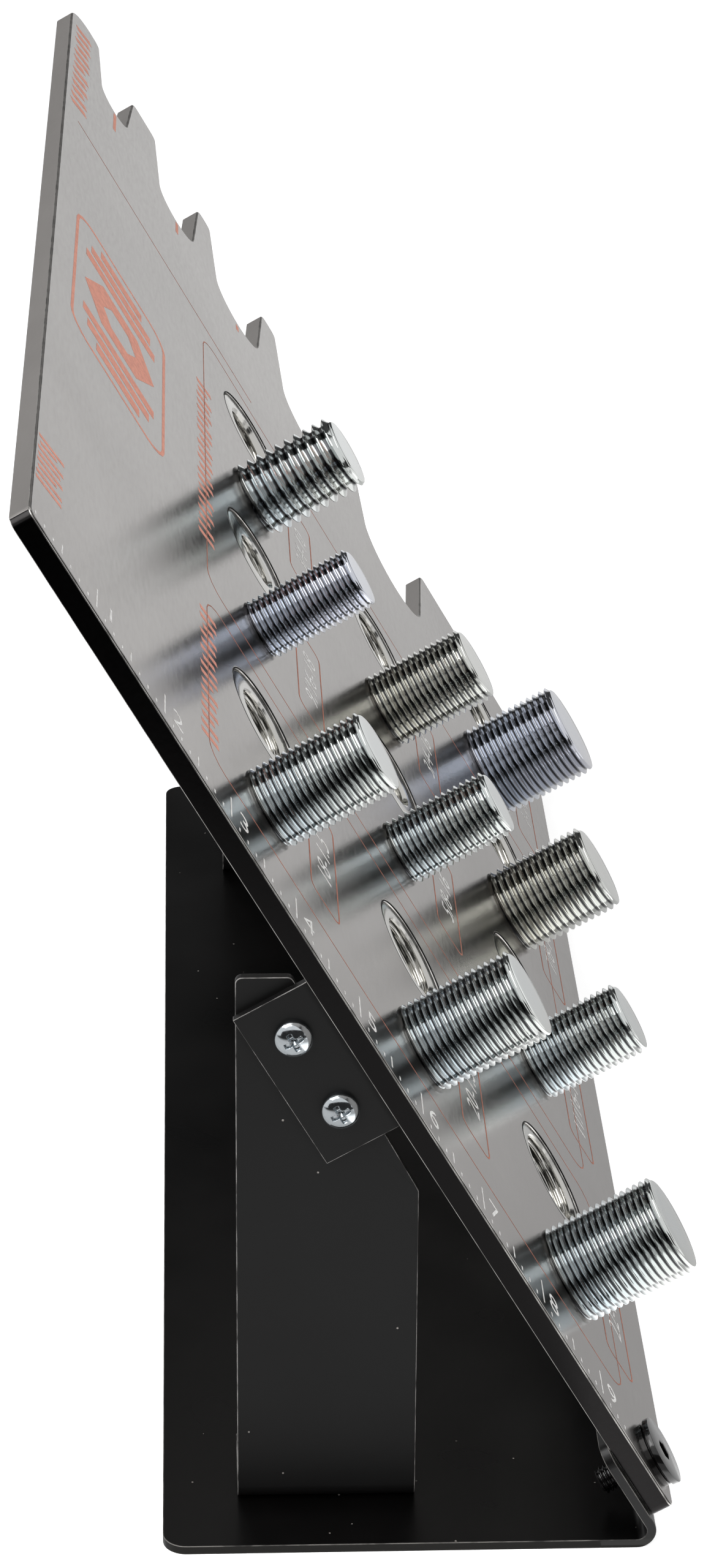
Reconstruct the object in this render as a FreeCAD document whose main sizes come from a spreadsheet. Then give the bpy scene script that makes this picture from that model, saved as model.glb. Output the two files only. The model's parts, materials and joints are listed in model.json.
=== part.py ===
import FreeCAD, Part
import math
import os
import re

import Sketcher

# Thread checker: a tilted steel plate with threaded studs and threaded inserts, on a folded sheet stand.
# Millimetres. Origin: centre of the stand's underside. +X is the way the plate faces, +Z is up, and
# +Y runs along the plate, from the edge with the ruler to the edge with the size slots.
# Plate frame, used by all that sits on the plate: x along the plate from the ruler edge, y up the plate
# from its top edge (so all of it is below zero), z out of the front face.

os.makedirs("parts", exist_ok=True)
doc = FreeCAD.newDocument("thread_checker")
sheet = doc.addObject("Spreadsheet::Sheet", "sizes")
sheet.Label = "sizes"

# Driving dimensions: alias, value and what it is
SIZES = [
    ("plate_width", 384.0, "gauge plate, ruler edge to slot edge"),
    ("plate_height", 258.0, "gauge plate, top edge to bottom edge"),
    ("plate_thick", 4.76, "gauge plate, thickness"),
    ("plate_tilt", 60.0, "plate from the horizontal, degrees"),
    ("plate_lift", 8.1, "bottom front edge of the plate above the table"),
    ("corner_far", 10.0, "radius of the plate's top corner at the slot edge"),
    ("corner_near", 2.5, "radius of the plate's other corners"),
    ("mouth_round", 2.5, "radius of the corners at a slot's mouth"),
    ("first_row", 91.1, "top edge to the first row of gauges"),
    ("row_step", 63.5, "row to row"),
    ("column_one", 37.3, "ruler edge to the first column of studs"),
    ("column_two", 133.5, "ruler edge to the second column of studs"),
    ("column_three", 215.8, "ruler edge to the third column of studs"),
    ("column_four", 302.4, "ruler edge to the fourth column of studs"),
    ("pair_step", 42.85, "stud to the threaded insert beside it"),
    ("stud_reach", 25.4, "stud above the plate"),
    ("stud_spigot", 10.0, "diameter of the stud's pressed spigot"),
    ("thread_depth", 0.6, "thread depth as a share of the pitch"),
    ("insert_wide", 27.4, "outer diameter of a threaded insert"),
    ("insert_wall", 2.5, "least wall outside an insert's thread"),
    ("insert_sink", 0.3, "front face of an insert below the plate"),
    ("insert_bevel", 0.7, "bevel on an insert's outer corner"),
    ("seat_bevel", 0.35, "bevel on the plate around an insert"),
    ("edge_bevel", 0.35, "bevel on the plate's front edges"),
    ("tip_bevel", 0.28, "bevel on a stud's tip as a share of its pitch"),
    ("sheet_thick", 2.0, "steel sheet of the stand"),
    ("bend_inner", 2.0, "inner radius of the stand's bends"),
    ("base_depth", 103.0, "base, back edge to the front of the bend"),
    ("base_width", 388.0, "base, end to end"),
    ("lip_length", 20.2, "base lip, end of the bend to its top"),
    ("lip_corner", 4.2, "radius of the lip's top corners"),
    ("base_corner", 5.0, "radius of the base's back corners"),
    ("leg_inset_left", 16.2, "end of the base to the outside of the left leg"),
    ("leg_inset_right", 58.0, "end of the base to the outside of the right leg, clear of the slots"),
    ("leg_back", 15.8, "back edge of the base to the back edge of a leg"),
    ("leg_depth", 37.5, "leg, back edge to front edge"),
    ("leg_height", 126.0, "top of a leg above the table"),
    ("leg_gap", 7.2, "foot of a leg's sloped edge to the back of the plate"),
    ("leg_lean", 2.0, "that edge, steeper than the plate, degrees"),
    ("leg_corner", 1.4, "radius of a leg's corners"),
    ("foot_width", 24.0, "leg's foot, ruler side of the leg's wall to its end"),
    ("foot_hole_inset", 9.0, "foot bolt to the leg's back or front edge"),
    ("foot_hole_side", 14.5, "foot bolt to the ruler side of the leg's wall"),
    ("foot_bolt", 5.0, "diameter of a foot bolt"),
    ("foot_bolt_spare", 2.0, "foot bolt above its nut"),
    ("foot_head", 7.5, "diameter of a foot bolt's flush head"),
    ("foot_head_high", 1.2, "height of a foot bolt's flush head"),
    ("bracket_top", 117.6, "top edge of the plate to the top of a bracket"),
    ("bracket_long", 38.1, "bracket, along the plate"),
    ("tab_reach", 19.8, "bracket tab behind the plate"),
    ("flange_reach", 18.0, "bracket flange along the plate's back"),
    ("tab_screw_back", 11.2, "tab screws behind the plate"),
    ("tab_screw_step", 19.05, "tab screw to tab screw"),
    ("flange_screw_in", 11.5, "flange screws from the outside of the tab"),
    ("small_screw", 4.0, "diameter of the bracket screws"),
    ("pan_head", 8.0, "diameter of a bracket screw's head"),
    ("pan_high", 2.6, "height of a bracket screw's head"),
    ("pan_side", 1.2, "height of that head's upright side"),
    ("pan_shoulder", 7.0, "diameter of that head's shoulder"),
    ("pan_shoulder_up", 2.0, "height of that head's shoulder"),
    ("pan_crown", 4.8, "diameter of that head's flat crown"),
    ("cross_long", 4.6, "cross recess in that head, end to end"),
    ("cross_wide", 1.1, "width of the recess's arms"),
    ("cross_deep", 1.5, "depth of the recess"),
    ("end_bevel", 0.3, "bevel on the end of a bracket screw"),
    ("bolt_bevel", 0.5, "bevel on the end of a lip screw or foot bolt"),
    ("screw_spare", 1.5, "bracket screw past its nut"),
    ("blind_depth", 3.2, "tapped holes in the plate's back"),
    ("blind_spare", 0.4, "end of a flange screw to the hole's floor"),
    ("lip_screw", 6.0, "diameter of a lip screw"),
    ("lip_screw_up", 5.2, "lip screw to the plate's bottom edge"),
    ("lip_screw_in", 12.4, "lip screw to the plate's side edge"),
    ("lip_screw_play", 0.4, "lip screw's clearance hole, wider than the screw"),
    ("lip_head", 15.0, "diameter of a lip screw's head"),
    ("lip_head_high", 2.4, "height of a lip screw's head"),
    ("lip_head_bevel", 0.35, "bevel on a lip screw's head"),
    ("lip_socket", 4.0, "hexagon socket of a lip screw, across flats"),
    ("lip_socket_deep", 1.7, "depth of that socket"),
    ("lip_boss", 9.6, "diameter of the tapped boss behind the lip"),
    ("lip_boss_high", 0.7, "height of that boss"),
    ("lip_screw_out", 5.4, "lip screw beyond the boss"),
    ("nut_small", 7.0, "bracket nuts, across flats"),
    ("nut_small_high", 3.2, "height of a bracket nut"),
    ("nut_foot", 8.0, "foot nuts, across flats"),
    ("nut_foot_high", 4.0, "height of a foot nut"),
    ("cut_past", 5.0, "how far a cut runs past the metal"),
    ("major_m18", 18.0, "major diameter of gauge m18"),
    ("pitch_m18", 1.5, "pitch of gauge m18"),
    ("major_inch_9_16", 14.29, "major diameter of gauge inch_9_16"),
    ("pitch_inch_9_16", 1.411, "pitch of gauge inch_9_16"),
    ("major_inch_3_4_coarse", 19.05, "major diameter of gauge inch_3_4_coarse"),
    ("pitch_inch_3_4_coarse", 2.54, "pitch of gauge inch_3_4_coarse"),
    ("major_m20", 20.0, "major diameter of gauge m20"),
    ("pitch_m20", 1.5, "pitch of gauge m20"),
    ("major_inch_5_8", 15.88, "major diameter of gauge inch_5_8"),
    ("pitch_inch_5_8", 1.588, "pitch of gauge inch_5_8"),
    ("major_inch_3_4_fine", 19.05, "major diameter of gauge inch_3_4_fine"),
    ("pitch_inch_3_4_fine", 1.588, "pitch of gauge inch_3_4_fine"),
    ("major_m22", 22.0, "major diameter of gauge m22"),
    ("pitch_m22", 1.5, "pitch of gauge m22"),
    ("major_inch_11_16", 17.46, "major diameter of gauge inch_11_16"),
    ("pitch_inch_11_16", 1.588, "pitch of gauge inch_11_16"),
    ("major_inch_7_8", 22.23, "major diameter of gauge inch_7_8"),
    ("pitch_inch_7_8", 1.814, "pitch of gauge inch_7_8"),
    ("major_inch_1", 25.4, "major diameter of gauge inch_1"),
    ("pitch_inch_1", 1.814, "pitch of gauge inch_1"),
    ("slot_one_down", 22.5, "slot one, top edge to its centre"),
    ("slot_one_half", 8.75, "slot one, half its mouth"),
    ("slot_one_deep", 36.5, "slot one, depth from the far edge"),
    ("slot_one_round", 6.2, "slot one, radius of its round end"),
    ("slot_two_down", 54.4, "slot two, top edge to its centre"),
    ("slot_two_half", 11.3, "slot two, half its mouth"),
    ("slot_two_deep", 43.5, "slot two, depth from the far edge"),
    ("slot_two_round", 8.5, "slot two, radius of its round end"),
    ("slot_three_down", 86.2, "slot three, top edge to its centre"),
    ("slot_three_half", 14.0, "slot three, half its mouth"),
    ("slot_three_deep", 45.8, "slot three, depth from the far edge"),
    ("slot_three_round", 10.8, "slot three, radius of its round end"),
    ("slot_four_down", 123.6, "slot four, top edge to its centre"),
    ("slot_four_half", 16.0, "slot four, half its mouth"),
    ("slot_four_deep", 48.6, "slot four, depth from the far edge"),
    ("slot_four_round", 12.8, "slot four, radius of its round end"),
    ("slot_five_down", 170.4, "slot five, top edge to its centre"),
    ("slot_five_half", 19.0, "slot five, half its mouth"),
    ("slot_five_deep", 51.0, "slot five, depth from the far edge"),
    ("slot_five_round", 15.2, "slot five, radius of its round end"),
]

# Gauges: name, row and column alias
GAUGES = [
    ("m18", 0, "column_one"),
    ("inch_9_16", 0, "column_two"),
    ("inch_3_4_coarse", 0, "column_three"),
    ("m20", 1, "column_one"),
    ("inch_5_8", 1, "column_two"),
    ("inch_3_4_fine", 1, "column_three"),
    ("m22", 2, "column_one"),
    ("inch_11_16", 2, "column_two"),
    ("inch_7_8", 2, "column_three"),
    ("inch_1", 2, "column_four"),
]

# Size slots in the far edge, from the top down
SLOTS = ["one", "two", "three", "four", "five"]

# The left side is the ruler edge's, at -Y
SIDES = ("left", "right")

# Each alias, and how an expression names its cell
ALIASES = {}

# A polygon's lines start on a circle this big, and then their constraints move them
START = 10.0


def fill_sheet():
    """Writes every driving dimension to the sheet, with its alias."""
    for line, (alias, value, note) in enumerate(SIZES, start=1):
        sheet.set(f"A{line}", note)
        sheet.set(f"B{line}", str(value))
        sheet.setAlias(f"B{line}", alias)
        ALIASES[alias] = f"sizes.{alias}"
    doc.recompute()


def size(alias):
    """The number in the cell with that alias."""
    return float(sheet.get(alias))


def cell(expression):
    """The expression with each word that is an alias made a reference to its cell."""
    return re.sub(r"[a-z]\w*", lambda word: ALIASES.get(word[0], word[0]), expression)


def new_body(label):
    """An empty body whose name and label are both the given one."""
    body = doc.addObject("PartDesign::Body", label)
    body.Label = label
    return body


def plane_of(body, role):
    """The body's own origin plane with that role."""
    for item in body.Origin.OriginFeatures:
        if item.Role == role:
            return item
    raise ValueError(role)


def new_sketch(body, name, role, offset=None):
    """A sketch on one of the body's origin planes, moved off it by an expression."""
    sketch = body.newObject("Sketcher::SketchObject", name)
    sketch.AttachmentSupport = [(plane_of(body, role), "")]
    sketch.MapMode = "FlatFace"
    if offset:
        sketch.setExpression("AttachmentOffset.Base.z", cell(offset))
    return sketch


def bind(sketch, constraint, name, expression):
    """Adds a named constraint and ties its value to the sheet."""
    index = sketch.addConstraint(constraint)
    sketch.renameConstraint(index, name)
    sketch.setExpression(f"Constraints.{name}", cell(expression))


def polygon(sketch, corners, tag="p"):
    """A closed outline of straight lines, each corner given as two expressions."""
    count = len(corners)
    first = sketch.GeometryCount
    for k in range(count):
        here = 2 * math.pi * k / count
        there = 2 * math.pi * (k + 1) / count
        start = FreeCAD.Vector(START * math.cos(here), START * math.sin(here), 0)
        end = FreeCAD.Vector(START * math.cos(there), START * math.sin(there), 0)
        sketch.addGeometry(Part.LineSegment(start, end))
    for k in range(count):
        after = first + (k + 1) % count
        sketch.addConstraint(Sketcher.Constraint("Coincident", first + k, 2, after, 1))
    for k, (across, up) in enumerate(corners):
        bind(sketch, Sketcher.Constraint("DistanceX", first + k, 1, 1.0), f"{tag}{k}x", across)
        bind(sketch, Sketcher.Constraint("DistanceY", first + k, 1, 1.0), f"{tag}{k}y", up)


def circle(sketch, across, up, radius, tag):
    """A circle whose centre and radius are expressions."""
    centre = FreeCAD.Vector(1, 1, 0)
    index = sketch.addGeometry(Part.Circle(centre, FreeCAD.Vector(0, 0, 1), 1.0))
    bind(sketch, Sketcher.Constraint("DistanceX", index, 3, 1.0), f"{tag}x", across)
    bind(sketch, Sketcher.Constraint("DistanceY", index, 3, 1.0), f"{tag}y", up)
    bind(sketch, Sketcher.Constraint("Radius", index, 1.0), f"{tag}r", radius)


def pad(body, sketch, name, length, middle=False, backwards=False):
    """A pad of a sketch, its length an expression."""
    feature = body.newObject("PartDesign::Pad", name)
    feature.Profile = sketch
    feature.setExpression("Length", cell(length))
    feature.Midplane = middle
    feature.Reversed = backwards
    doc.recompute()
    return feature


def pocket(body, sketch, name, length=None, backwards=False, middle=False):
    """A pocket of a sketch, right through or as deep as an expression, that has to remove metal."""
    before = body.Shape.Volume
    feature = body.newObject("PartDesign::Pocket", name)
    feature.Profile = sketch
    if length:
        feature.setExpression("Length", cell(length))
    else:
        feature.Type = "ThroughAll"
    feature.Reversed = backwards
    feature.Midplane = middle
    doc.recompute()
    if body.Shape.Volume > before - 1e-3:
        raise RuntimeError(f"{name} in {body.Label} cuts nothing")
    return feature


def turned(body, sketch, name="turned"):
    """A full turn of a half profile about the sketch's own upright axis."""
    feature = body.newObject("PartDesign::Revolution", name)
    feature.Profile = sketch
    feature.ReferenceAxis = (sketch, ["V_Axis"])
    feature.Angle = 360.0
    doc.recompute()
    return feature


def edges_where(feature, test):
    """The names of a feature's edges whose two ends and middle pass a test."""
    found = []
    for number, edge in enumerate(feature.Shape.Edges, start=1):
        ends = [vertex.Point for vertex in edge.Vertexes]
        middle = edge.valueAt((edge.FirstParameter + edge.LastParameter) / 2)
        if test(edge, ends, middle):
            found.append(f"Edge{number}")
    return found


def upright_at(feature, places, direction):
    """The edges along one axis (0, 1 or 2) that stand at any of the given places on the other two."""
    others = [axis for axis in range(3) if axis != direction]

    def test(edge, ends, middle):
        if len(ends) != 2:
            return False
        if any(abs(ends[0][axis] - ends[1][axis]) > 1e-4 for axis in others):
            return False
        return any(math.dist([middle[axis] for axis in others], place) < 1e-3 for place in places)

    return edges_where(feature, test)


def soften(body, base, kind, name, edges, expression):
    """A fillet or a chamfer of those edges, its size an expression."""
    if not edges:
        raise RuntimeError(f"{name} in {body.Label} has no edges")
    feature = body.newObject(f"PartDesign::{kind}", name)
    feature.Base = (base, edges)
    feature.setExpression("Radius" if kind == "Fillet" else "Size", cell(expression))
    doc.recompute()
    return feature


fill_sheet()

TILT = math.radians(size("plate_tilt"))
UP_PLATE = FreeCAD.Vector(-math.cos(TILT), 0, math.sin(TILT))
OUT_OF_PLATE = FreeCAD.Vector(math.sin(TILT), 0, math.cos(TILT))
ALONG = FreeCAD.Vector(0, 1, 0)
# The outer faces of the base and of its lip, drawn on, meet at an edge this far in front of the middle
BEND_OUTER = size("bend_inner") + size("sheet_thick")
FRONT_EDGE = size("base_depth") / 2 - BEND_OUTER + BEND_OUTER / math.tan(TILT / 2)


def plate_corner():
    """The plate frame's origin: the top corner of the front face, at the ruler edge."""
    thick = size("plate_thick")
    lower_back = size("plate_lift") - thick * OUT_OF_PLATE.z
    back_foot = FreeCAD.Vector(FRONT_EDGE - lower_back / math.tan(TILT), -size("plate_width") / 2, lower_back)
    return back_foot + OUT_OF_PLATE * thick + UP_PLATE * size("plate_height")


PLATE_TURN = FreeCAD.Rotation(90, 0, size("plate_tilt"))
PLATE_FRAME = FreeCAD.Placement(plate_corner(), PLATE_TURN)


def on_plate(across, down, out=0.0):
    """The place of a piece whose own frame is the plate's, moved across, down and out of it."""
    return PLATE_FRAME * FreeCAD.Placement(FreeCAD.Vector(across, -down, out), FreeCAD.Rotation())


def insert_width(name):
    """Outer diameter of a gauge's insert, as an expression: the usual one, or more round a big thread."""
    return f"max( insert_wide ; major_{name} + 2 * insert_wall )"


def row_down(row):
    """Top edge of the plate to the centre of a row, as an expression."""
    return f"first_row + {row} * row_step"


def gauge_plate():
    """The tilted plate, with its size slots, the seats of the inserts and studs, and the screw holes."""
    body = new_body("gauge_plate")
    outline = new_sketch(body, "plate_outline", "XY_Plane")
    polygon(
        outline,
        [("0", "0"), ("0", "-plate_height"), ("plate_width", "-plate_height"), ("plate_width", "0")],
    )
    blank = pad(body, outline, "plate_blank", "plate_thick", backwards=True)
    cuts = new_sketch(body, "slot_outlines", "XY_Plane")
    for name in SLOTS:
        slot_outline(cuts, name)
    slotted = pocket(body, cuts, "slots")
    width, height = size("plate_width"), size("plate_height")
    mouths = []
    for name in SLOTS:
        down, half = size(f"slot_{name}_down"), size(f"slot_{name}_half")
        mouths += [(width, -down - half), (width, -down + half)]
    eased = soften(body, slotted, "Fillet", "mouths", upright_at(slotted, mouths, 2), "mouth_round")
    rest = [(0, 0), (0, -height), (width, -height)]
    eased = soften(body, eased, "Fillet", "corners", upright_at(eased, rest, 2), "corner_near")
    far = upright_at(eased, [(width, 0)], 2)
    rounded = soften(body, eased, "Fillet", "far_corner", far, "corner_far")
    front = edges_where(
        rounded, lambda edge, ends, middle: all(abs(point.z) < 1e-4 for point in ends + [middle])
    )
    soften(body, rounded, "Chamfer", "front_bevel", front, "edge_bevel")

    seats = new_sketch(body, "seats", "XY_Plane")
    for name, row, column in GAUGES:
        up = f"-( {row_down(row)} )"
        circle(seats, f"{column} + pair_step", up, f"{insert_width(name)} / 2", f"seat_{name}_")
    bored = pocket(body, seats, "insert_seats")
    rims = edges_where(bored, lambda edge, ends, middle: edge.isClosed() and abs(middle.z) < 1e-4)
    soften(body, bored, "Chamfer", "seat_rims", rims, "seat_bevel")

    small = new_sketch(body, "small_holes", "XY_Plane")
    for name, row, column in GAUGES:
        circle(small, column, f"-( {row_down(row)} )", "stud_spigot / 2", f"spigot_{name}_")
    radius = "( lip_screw + lip_screw_play ) / 2"
    up = "-( plate_height - lip_screw_up )"
    circle(small, LIP_INSET, up, radius, "lip_near_")
    circle(small, f"plate_width - {LIP_INSET}", up, radius, "lip_far_")
    pocket(body, small, "stud_and_screw_holes")

    blind = new_sketch(body, "blind_holes", "XY_Plane", "-plate_thick")
    for side, across in FLANGE_SCREWS.items():
        for place, down in TAB_ROWS.items():
            circle(blind, across, f"-( {down} )", "small_screw / 2", f"blind_{side}_{place}_")
    pocket(body, blind, "tapped_in_back", "blind_depth", backwards=True)
    body.Placement = PLATE_FRAME
    return body


def slot_outline(sketch, name):
    """One slot: two walls that close a little towards a round end, open past the plate's far edge."""
    width = size("plate_width")
    down, half = size(f"slot_{name}_down"), size(f"slot_{name}_half")
    deep, radius = size(f"slot_{name}_deep"), size(f"slot_{name}_round")
    centre = FreeCAD.Vector(width - deep + radius, -down, 0)
    lean = math.atan2(half - radius, deep - radius)
    mouth_high = FreeCAD.Vector(width, -down + half, 0)
    mouth_low = FreeCAD.Vector(width, -down - half, 0)
    round_end = Part.ArcOfCircle(
        Part.Circle(centre, FreeCAD.Vector(0, 0, 1), radius), math.pi / 2 + lean, 3 * math.pi / 2 - lean
    )
    high = centre + FreeCAD.Vector(-math.sin(lean), math.cos(lean), 0) * radius
    low = centre + FreeCAD.Vector(-math.sin(lean), -math.cos(lean), 0) * radius
    top = sketch.addGeometry(Part.LineSegment(mouth_high, high))
    arc = sketch.addGeometry(round_end)
    bottom = sketch.addGeometry(Part.LineSegment(low, mouth_low))
    close = sketch.addGeometry(Part.LineSegment(mouth_low, mouth_high))
    sketch.addConstraint(Sketcher.Constraint("Tangent", top, 2, arc, 1))
    sketch.addConstraint(Sketcher.Constraint("Tangent", arc, 2, bottom, 1))
    sketch.addConstraint(Sketcher.Constraint("Coincident", bottom, 2, close, 1))
    sketch.addConstraint(Sketcher.Constraint("Coincident", close, 2, top, 1))
    slot = f"slot_{name}"
    deep_at = f"plate_width - {slot}_deep + {slot}_round"
    bind(sketch, Sketcher.Constraint("Radius", arc, radius), f"{slot}_r", f"{slot}_round")
    bind(sketch, Sketcher.Constraint("DistanceX", arc, 3, centre.x), f"{slot}_cx", deep_at)
    bind(sketch, Sketcher.Constraint("DistanceY", arc, 3, centre.y), f"{slot}_cy", f"-{slot}_down")
    for tag, line, sign in (("high", top, "+"), ("low", close, "-")):
        bind(sketch, Sketcher.Constraint("DistanceX", line, 1, width), f"{slot}_{tag}x", "plate_width")
        bind(
            sketch,
            Sketcher.Constraint("DistanceY", line, 1, -down),
            f"{slot}_{tag}y",
            f"-{slot}_down {sign} {slot}_half",
        )


# The plate's side edge to a lip screw, farther in on a plate wider than the base
LIP_INSET = "( lip_screw_in + max( 0 ; ( plate_width - base_width ) / 2 ) )"


def lip_inset():
    """The plate's side edge to a lip screw, as a number."""
    return size("lip_screw_in") + max(0.0, (size("plate_width") - size("base_width")) / 2)


# Bracket screws, as expressions in the plate frame: down from the top edge, and across for the flanges
TAB_ROWS = {
    "upper": "bracket_top + ( bracket_long - tab_screw_step ) / 2",
    "lower": "bracket_top + ( bracket_long + tab_screw_step ) / 2",
}
TAB_OUTSIDE = {
    side: f"( leg_inset_{side} - sheet_thick - ( base_width - plate_width ) / 2 )" for side in SIDES
}
FLANGE_SCREWS = {
    "left": f"{TAB_OUTSIDE['left']} + flange_screw_in",
    "right": f"plate_width - {TAB_OUTSIDE['right']} - flange_screw_in",
}


def stud(name, row, column):
    """A threaded stud, plain at its major diameter, on a spigot pressed through the plate."""
    body = new_body(f"stud_{name}")
    half = new_sketch(body, f"stud_half_{name}", "XZ_Plane")
    radius = f"major_{name} / 2"
    bevel = f"tip_bevel * pitch_{name}"
    polygon(
        half,
        [
            ("0", "-plate_thick"),
            ("stud_spigot / 2", "-plate_thick"),
            ("stud_spigot / 2", "0"),
            (radius, "0"),
            (radius, f"stud_reach - {bevel}"),
            (f"{radius} - {bevel}", "stud_reach"),
            ("0", "stud_reach"),
        ],
    )
    turned(body, half)
    body.Placement = on_plate(size(column), size("first_row") + row * size("row_step"))
    return body


def insert(name, row, column):
    """A round threaded insert pressed into the plate, bored at the major diameter."""
    body = new_body(f"insert_{name}")
    half = new_sketch(body, f"insert_half_{name}", "XZ_Plane")
    inner = f"major_{name} / 2"
    outer = f"{insert_width(name)} / 2"
    bevel = f"thread_depth * pitch_{name}"
    polygon(
        half,
        [
            (inner, "-plate_thick"),
            (outer, "-plate_thick"),
            (outer, "-insert_sink - insert_bevel"),
            (f"{outer} - insert_bevel", "-insert_sink"),
            (f"{inner} + {bevel}", "-insert_sink"),
            (inner, f"-insert_sink - {bevel}"),
        ],
    )
    turned(body, half)
    across = size(column) + size("pair_step")
    body.Placement = on_plate(across, size("first_row") + row * size("row_step"))
    return body


def screw_place(side, in_plate):
    """Placement of a hole along the plate's normal, on the left (near) or right (far) side."""
    across, down, out = in_plate
    if side == "right":
        across = size("plate_width") - across
    return on_plate(across, down, out)


def front_edge():
    """Where the planes of the base's underside and the plate's back meet, as an expression."""
    bend = "( bend_inner + sheet_thick )"
    return f"( base_depth / 2 - {bend} + {bend} / tan( plate_tilt / 2 ) )"


def base():
    """The base sheet: flat, with its front edge folded back up into a lip behind the plate."""
    body = new_body("base")
    profile = new_sketch(body, "base_profile", "XZ_Plane")
    back = "-base_depth / 2"
    bend = "( bend_inner + sheet_thick )"
    edge = front_edge()
    inner = f"( {edge} - sheet_thick / tan( plate_tilt / 2 ) )"
    long = f"( lip_length + {bend} / tan( plate_tilt / 2 ) )"
    top = (f"{edge} - {long} * cos( plate_tilt )", f"{long} * sin( plate_tilt )")
    behind = (f"{top[0]} - sheet_thick * sin( plate_tilt )", f"{top[1]} - sheet_thick * cos( plate_tilt )")
    polygon(
        profile,
        [(back, "0"), (edge, "0"), top, behind, (inner, "sheet_thick"), (back, "sheet_thick")],
    )
    folded = pad(body, profile, "folded", "base_width", middle=True)
    outer_edge = upright_at(folded, [(FRONT_EDGE, 0)], 1)
    bent = soften(body, folded, "Fillet", "outer_bend", outer_edge, "bend_inner + sheet_thick")
    thick = size("sheet_thick")
    inner_corner = (FRONT_EDGE - thick / math.tan(TILT / 2), thick)
    inner_edge = upright_at(bent, [inner_corner], 1)
    bent = soften(body, bent, "Fillet", "inner_bend", inner_edge, "bend_inner")
    rear = -size("base_depth") / 2
    half_width = size("base_width") / 2
    ends = [(rear, -half_width), (rear, half_width)]
    eased = soften(body, bent, "Fillet", "back_corners", upright_at(bent, ends, 2), "base_corner")
    lip_top = FreeCAD.Vector(FRONT_EDGE, 0, 0) - OUT_OF_PLATE * (thick / 2)
    lip_top += UP_PLATE * (size("lip_length") + BEND_OUTER / math.tan(TILT / 2))
    tops = [lip_top - ALONG * half_width, lip_top + ALONG * half_width]
    corners = edges_where(
        eased, lambda edge, ends, middle: min(middle.distanceToPoint(place) for place in tops) < 1e-3
    )
    soften(body, eased, "Fillet", "lip_corners", corners, "lip_corner")

    holes = new_sketch(body, "foot_holes", "XY_Plane")
    heads = new_sketch(body, "foot_heads", "XY_Plane")
    for number, (across, up) in enumerate(FOOT_BOLTS):
        circle(holes, across, up, "foot_bolt / 2", f"hole_{number}_")
        circle(heads, across, up, "foot_head / 2", f"head_{number}_")
    pocket(body, holes, "bolt_holes", "2 * sheet_thick", middle=True)
    pocket(body, heads, "head_recesses", "foot_head_high", backwards=True)

    # The tapped bosses stand on the lip's back face and the holes go through both
    for side in SIDES:
        boss_sketch = lip_sketch(body, f"boss_{side}", side, ("plate_thick", "sheet_thick"), "lip_boss / 2")
        pad(body, boss_sketch, f"boss_pad_{side}", "lip_boss_high", backwards=True)
        hole_sketch = lip_sketch(body, f"tapped_{side}", side, ("plate_thick",), "lip_screw / 2")
        pocket(body, hole_sketch, f"tapped_hole_{side}", "sheet_thick + lip_boss_high")
    return body


def lip_sketch(body, name, side, layers, radius):
    """A circle about a lip screw's axis, on a plane behind the plate's front by those thicknesses."""
    sketch = new_sketch(body, name, "XY_Plane")
    down = size("plate_height") - size("lip_screw_up")
    depth = sum(size(layer) for layer in layers)
    sketch.AttachmentOffset = screw_place(side, (lip_inset(), down, -depth))
    circle(sketch, "0", "0", radius, f"{name}_")
    return sketch


# The ruler side of each leg's wall, and the foot bolts' x and y on the base, as expressions
FOOT_X = {
    "back": "-base_depth / 2 + leg_back + foot_hole_inset",
    "front": "-base_depth / 2 + leg_back + leg_depth - foot_hole_inset",
}
WALL_Y = {
    "left": "( -base_width / 2 + leg_inset_left )",
    "right": "( base_width / 2 - leg_inset_right - sheet_thick )",
}
FOOT_Y = {side: f"{wall} + foot_hole_side" for side, wall in WALL_Y.items()}
FOOT_BOLTS = [(across, up) for up in FOOT_Y.values() for across in FOOT_X.values()]

# The radius of a leg's corners is at most this share of the leg's width at its top
CORNER_SHARE = 0.4


def wall_at(side):
    """The y of the ruler side of a leg's wall."""
    if side == "left":
        return -size("base_width") / 2 + size("leg_inset_left")
    return size("base_width") / 2 - size("leg_inset_right") - size("sheet_thick")


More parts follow.
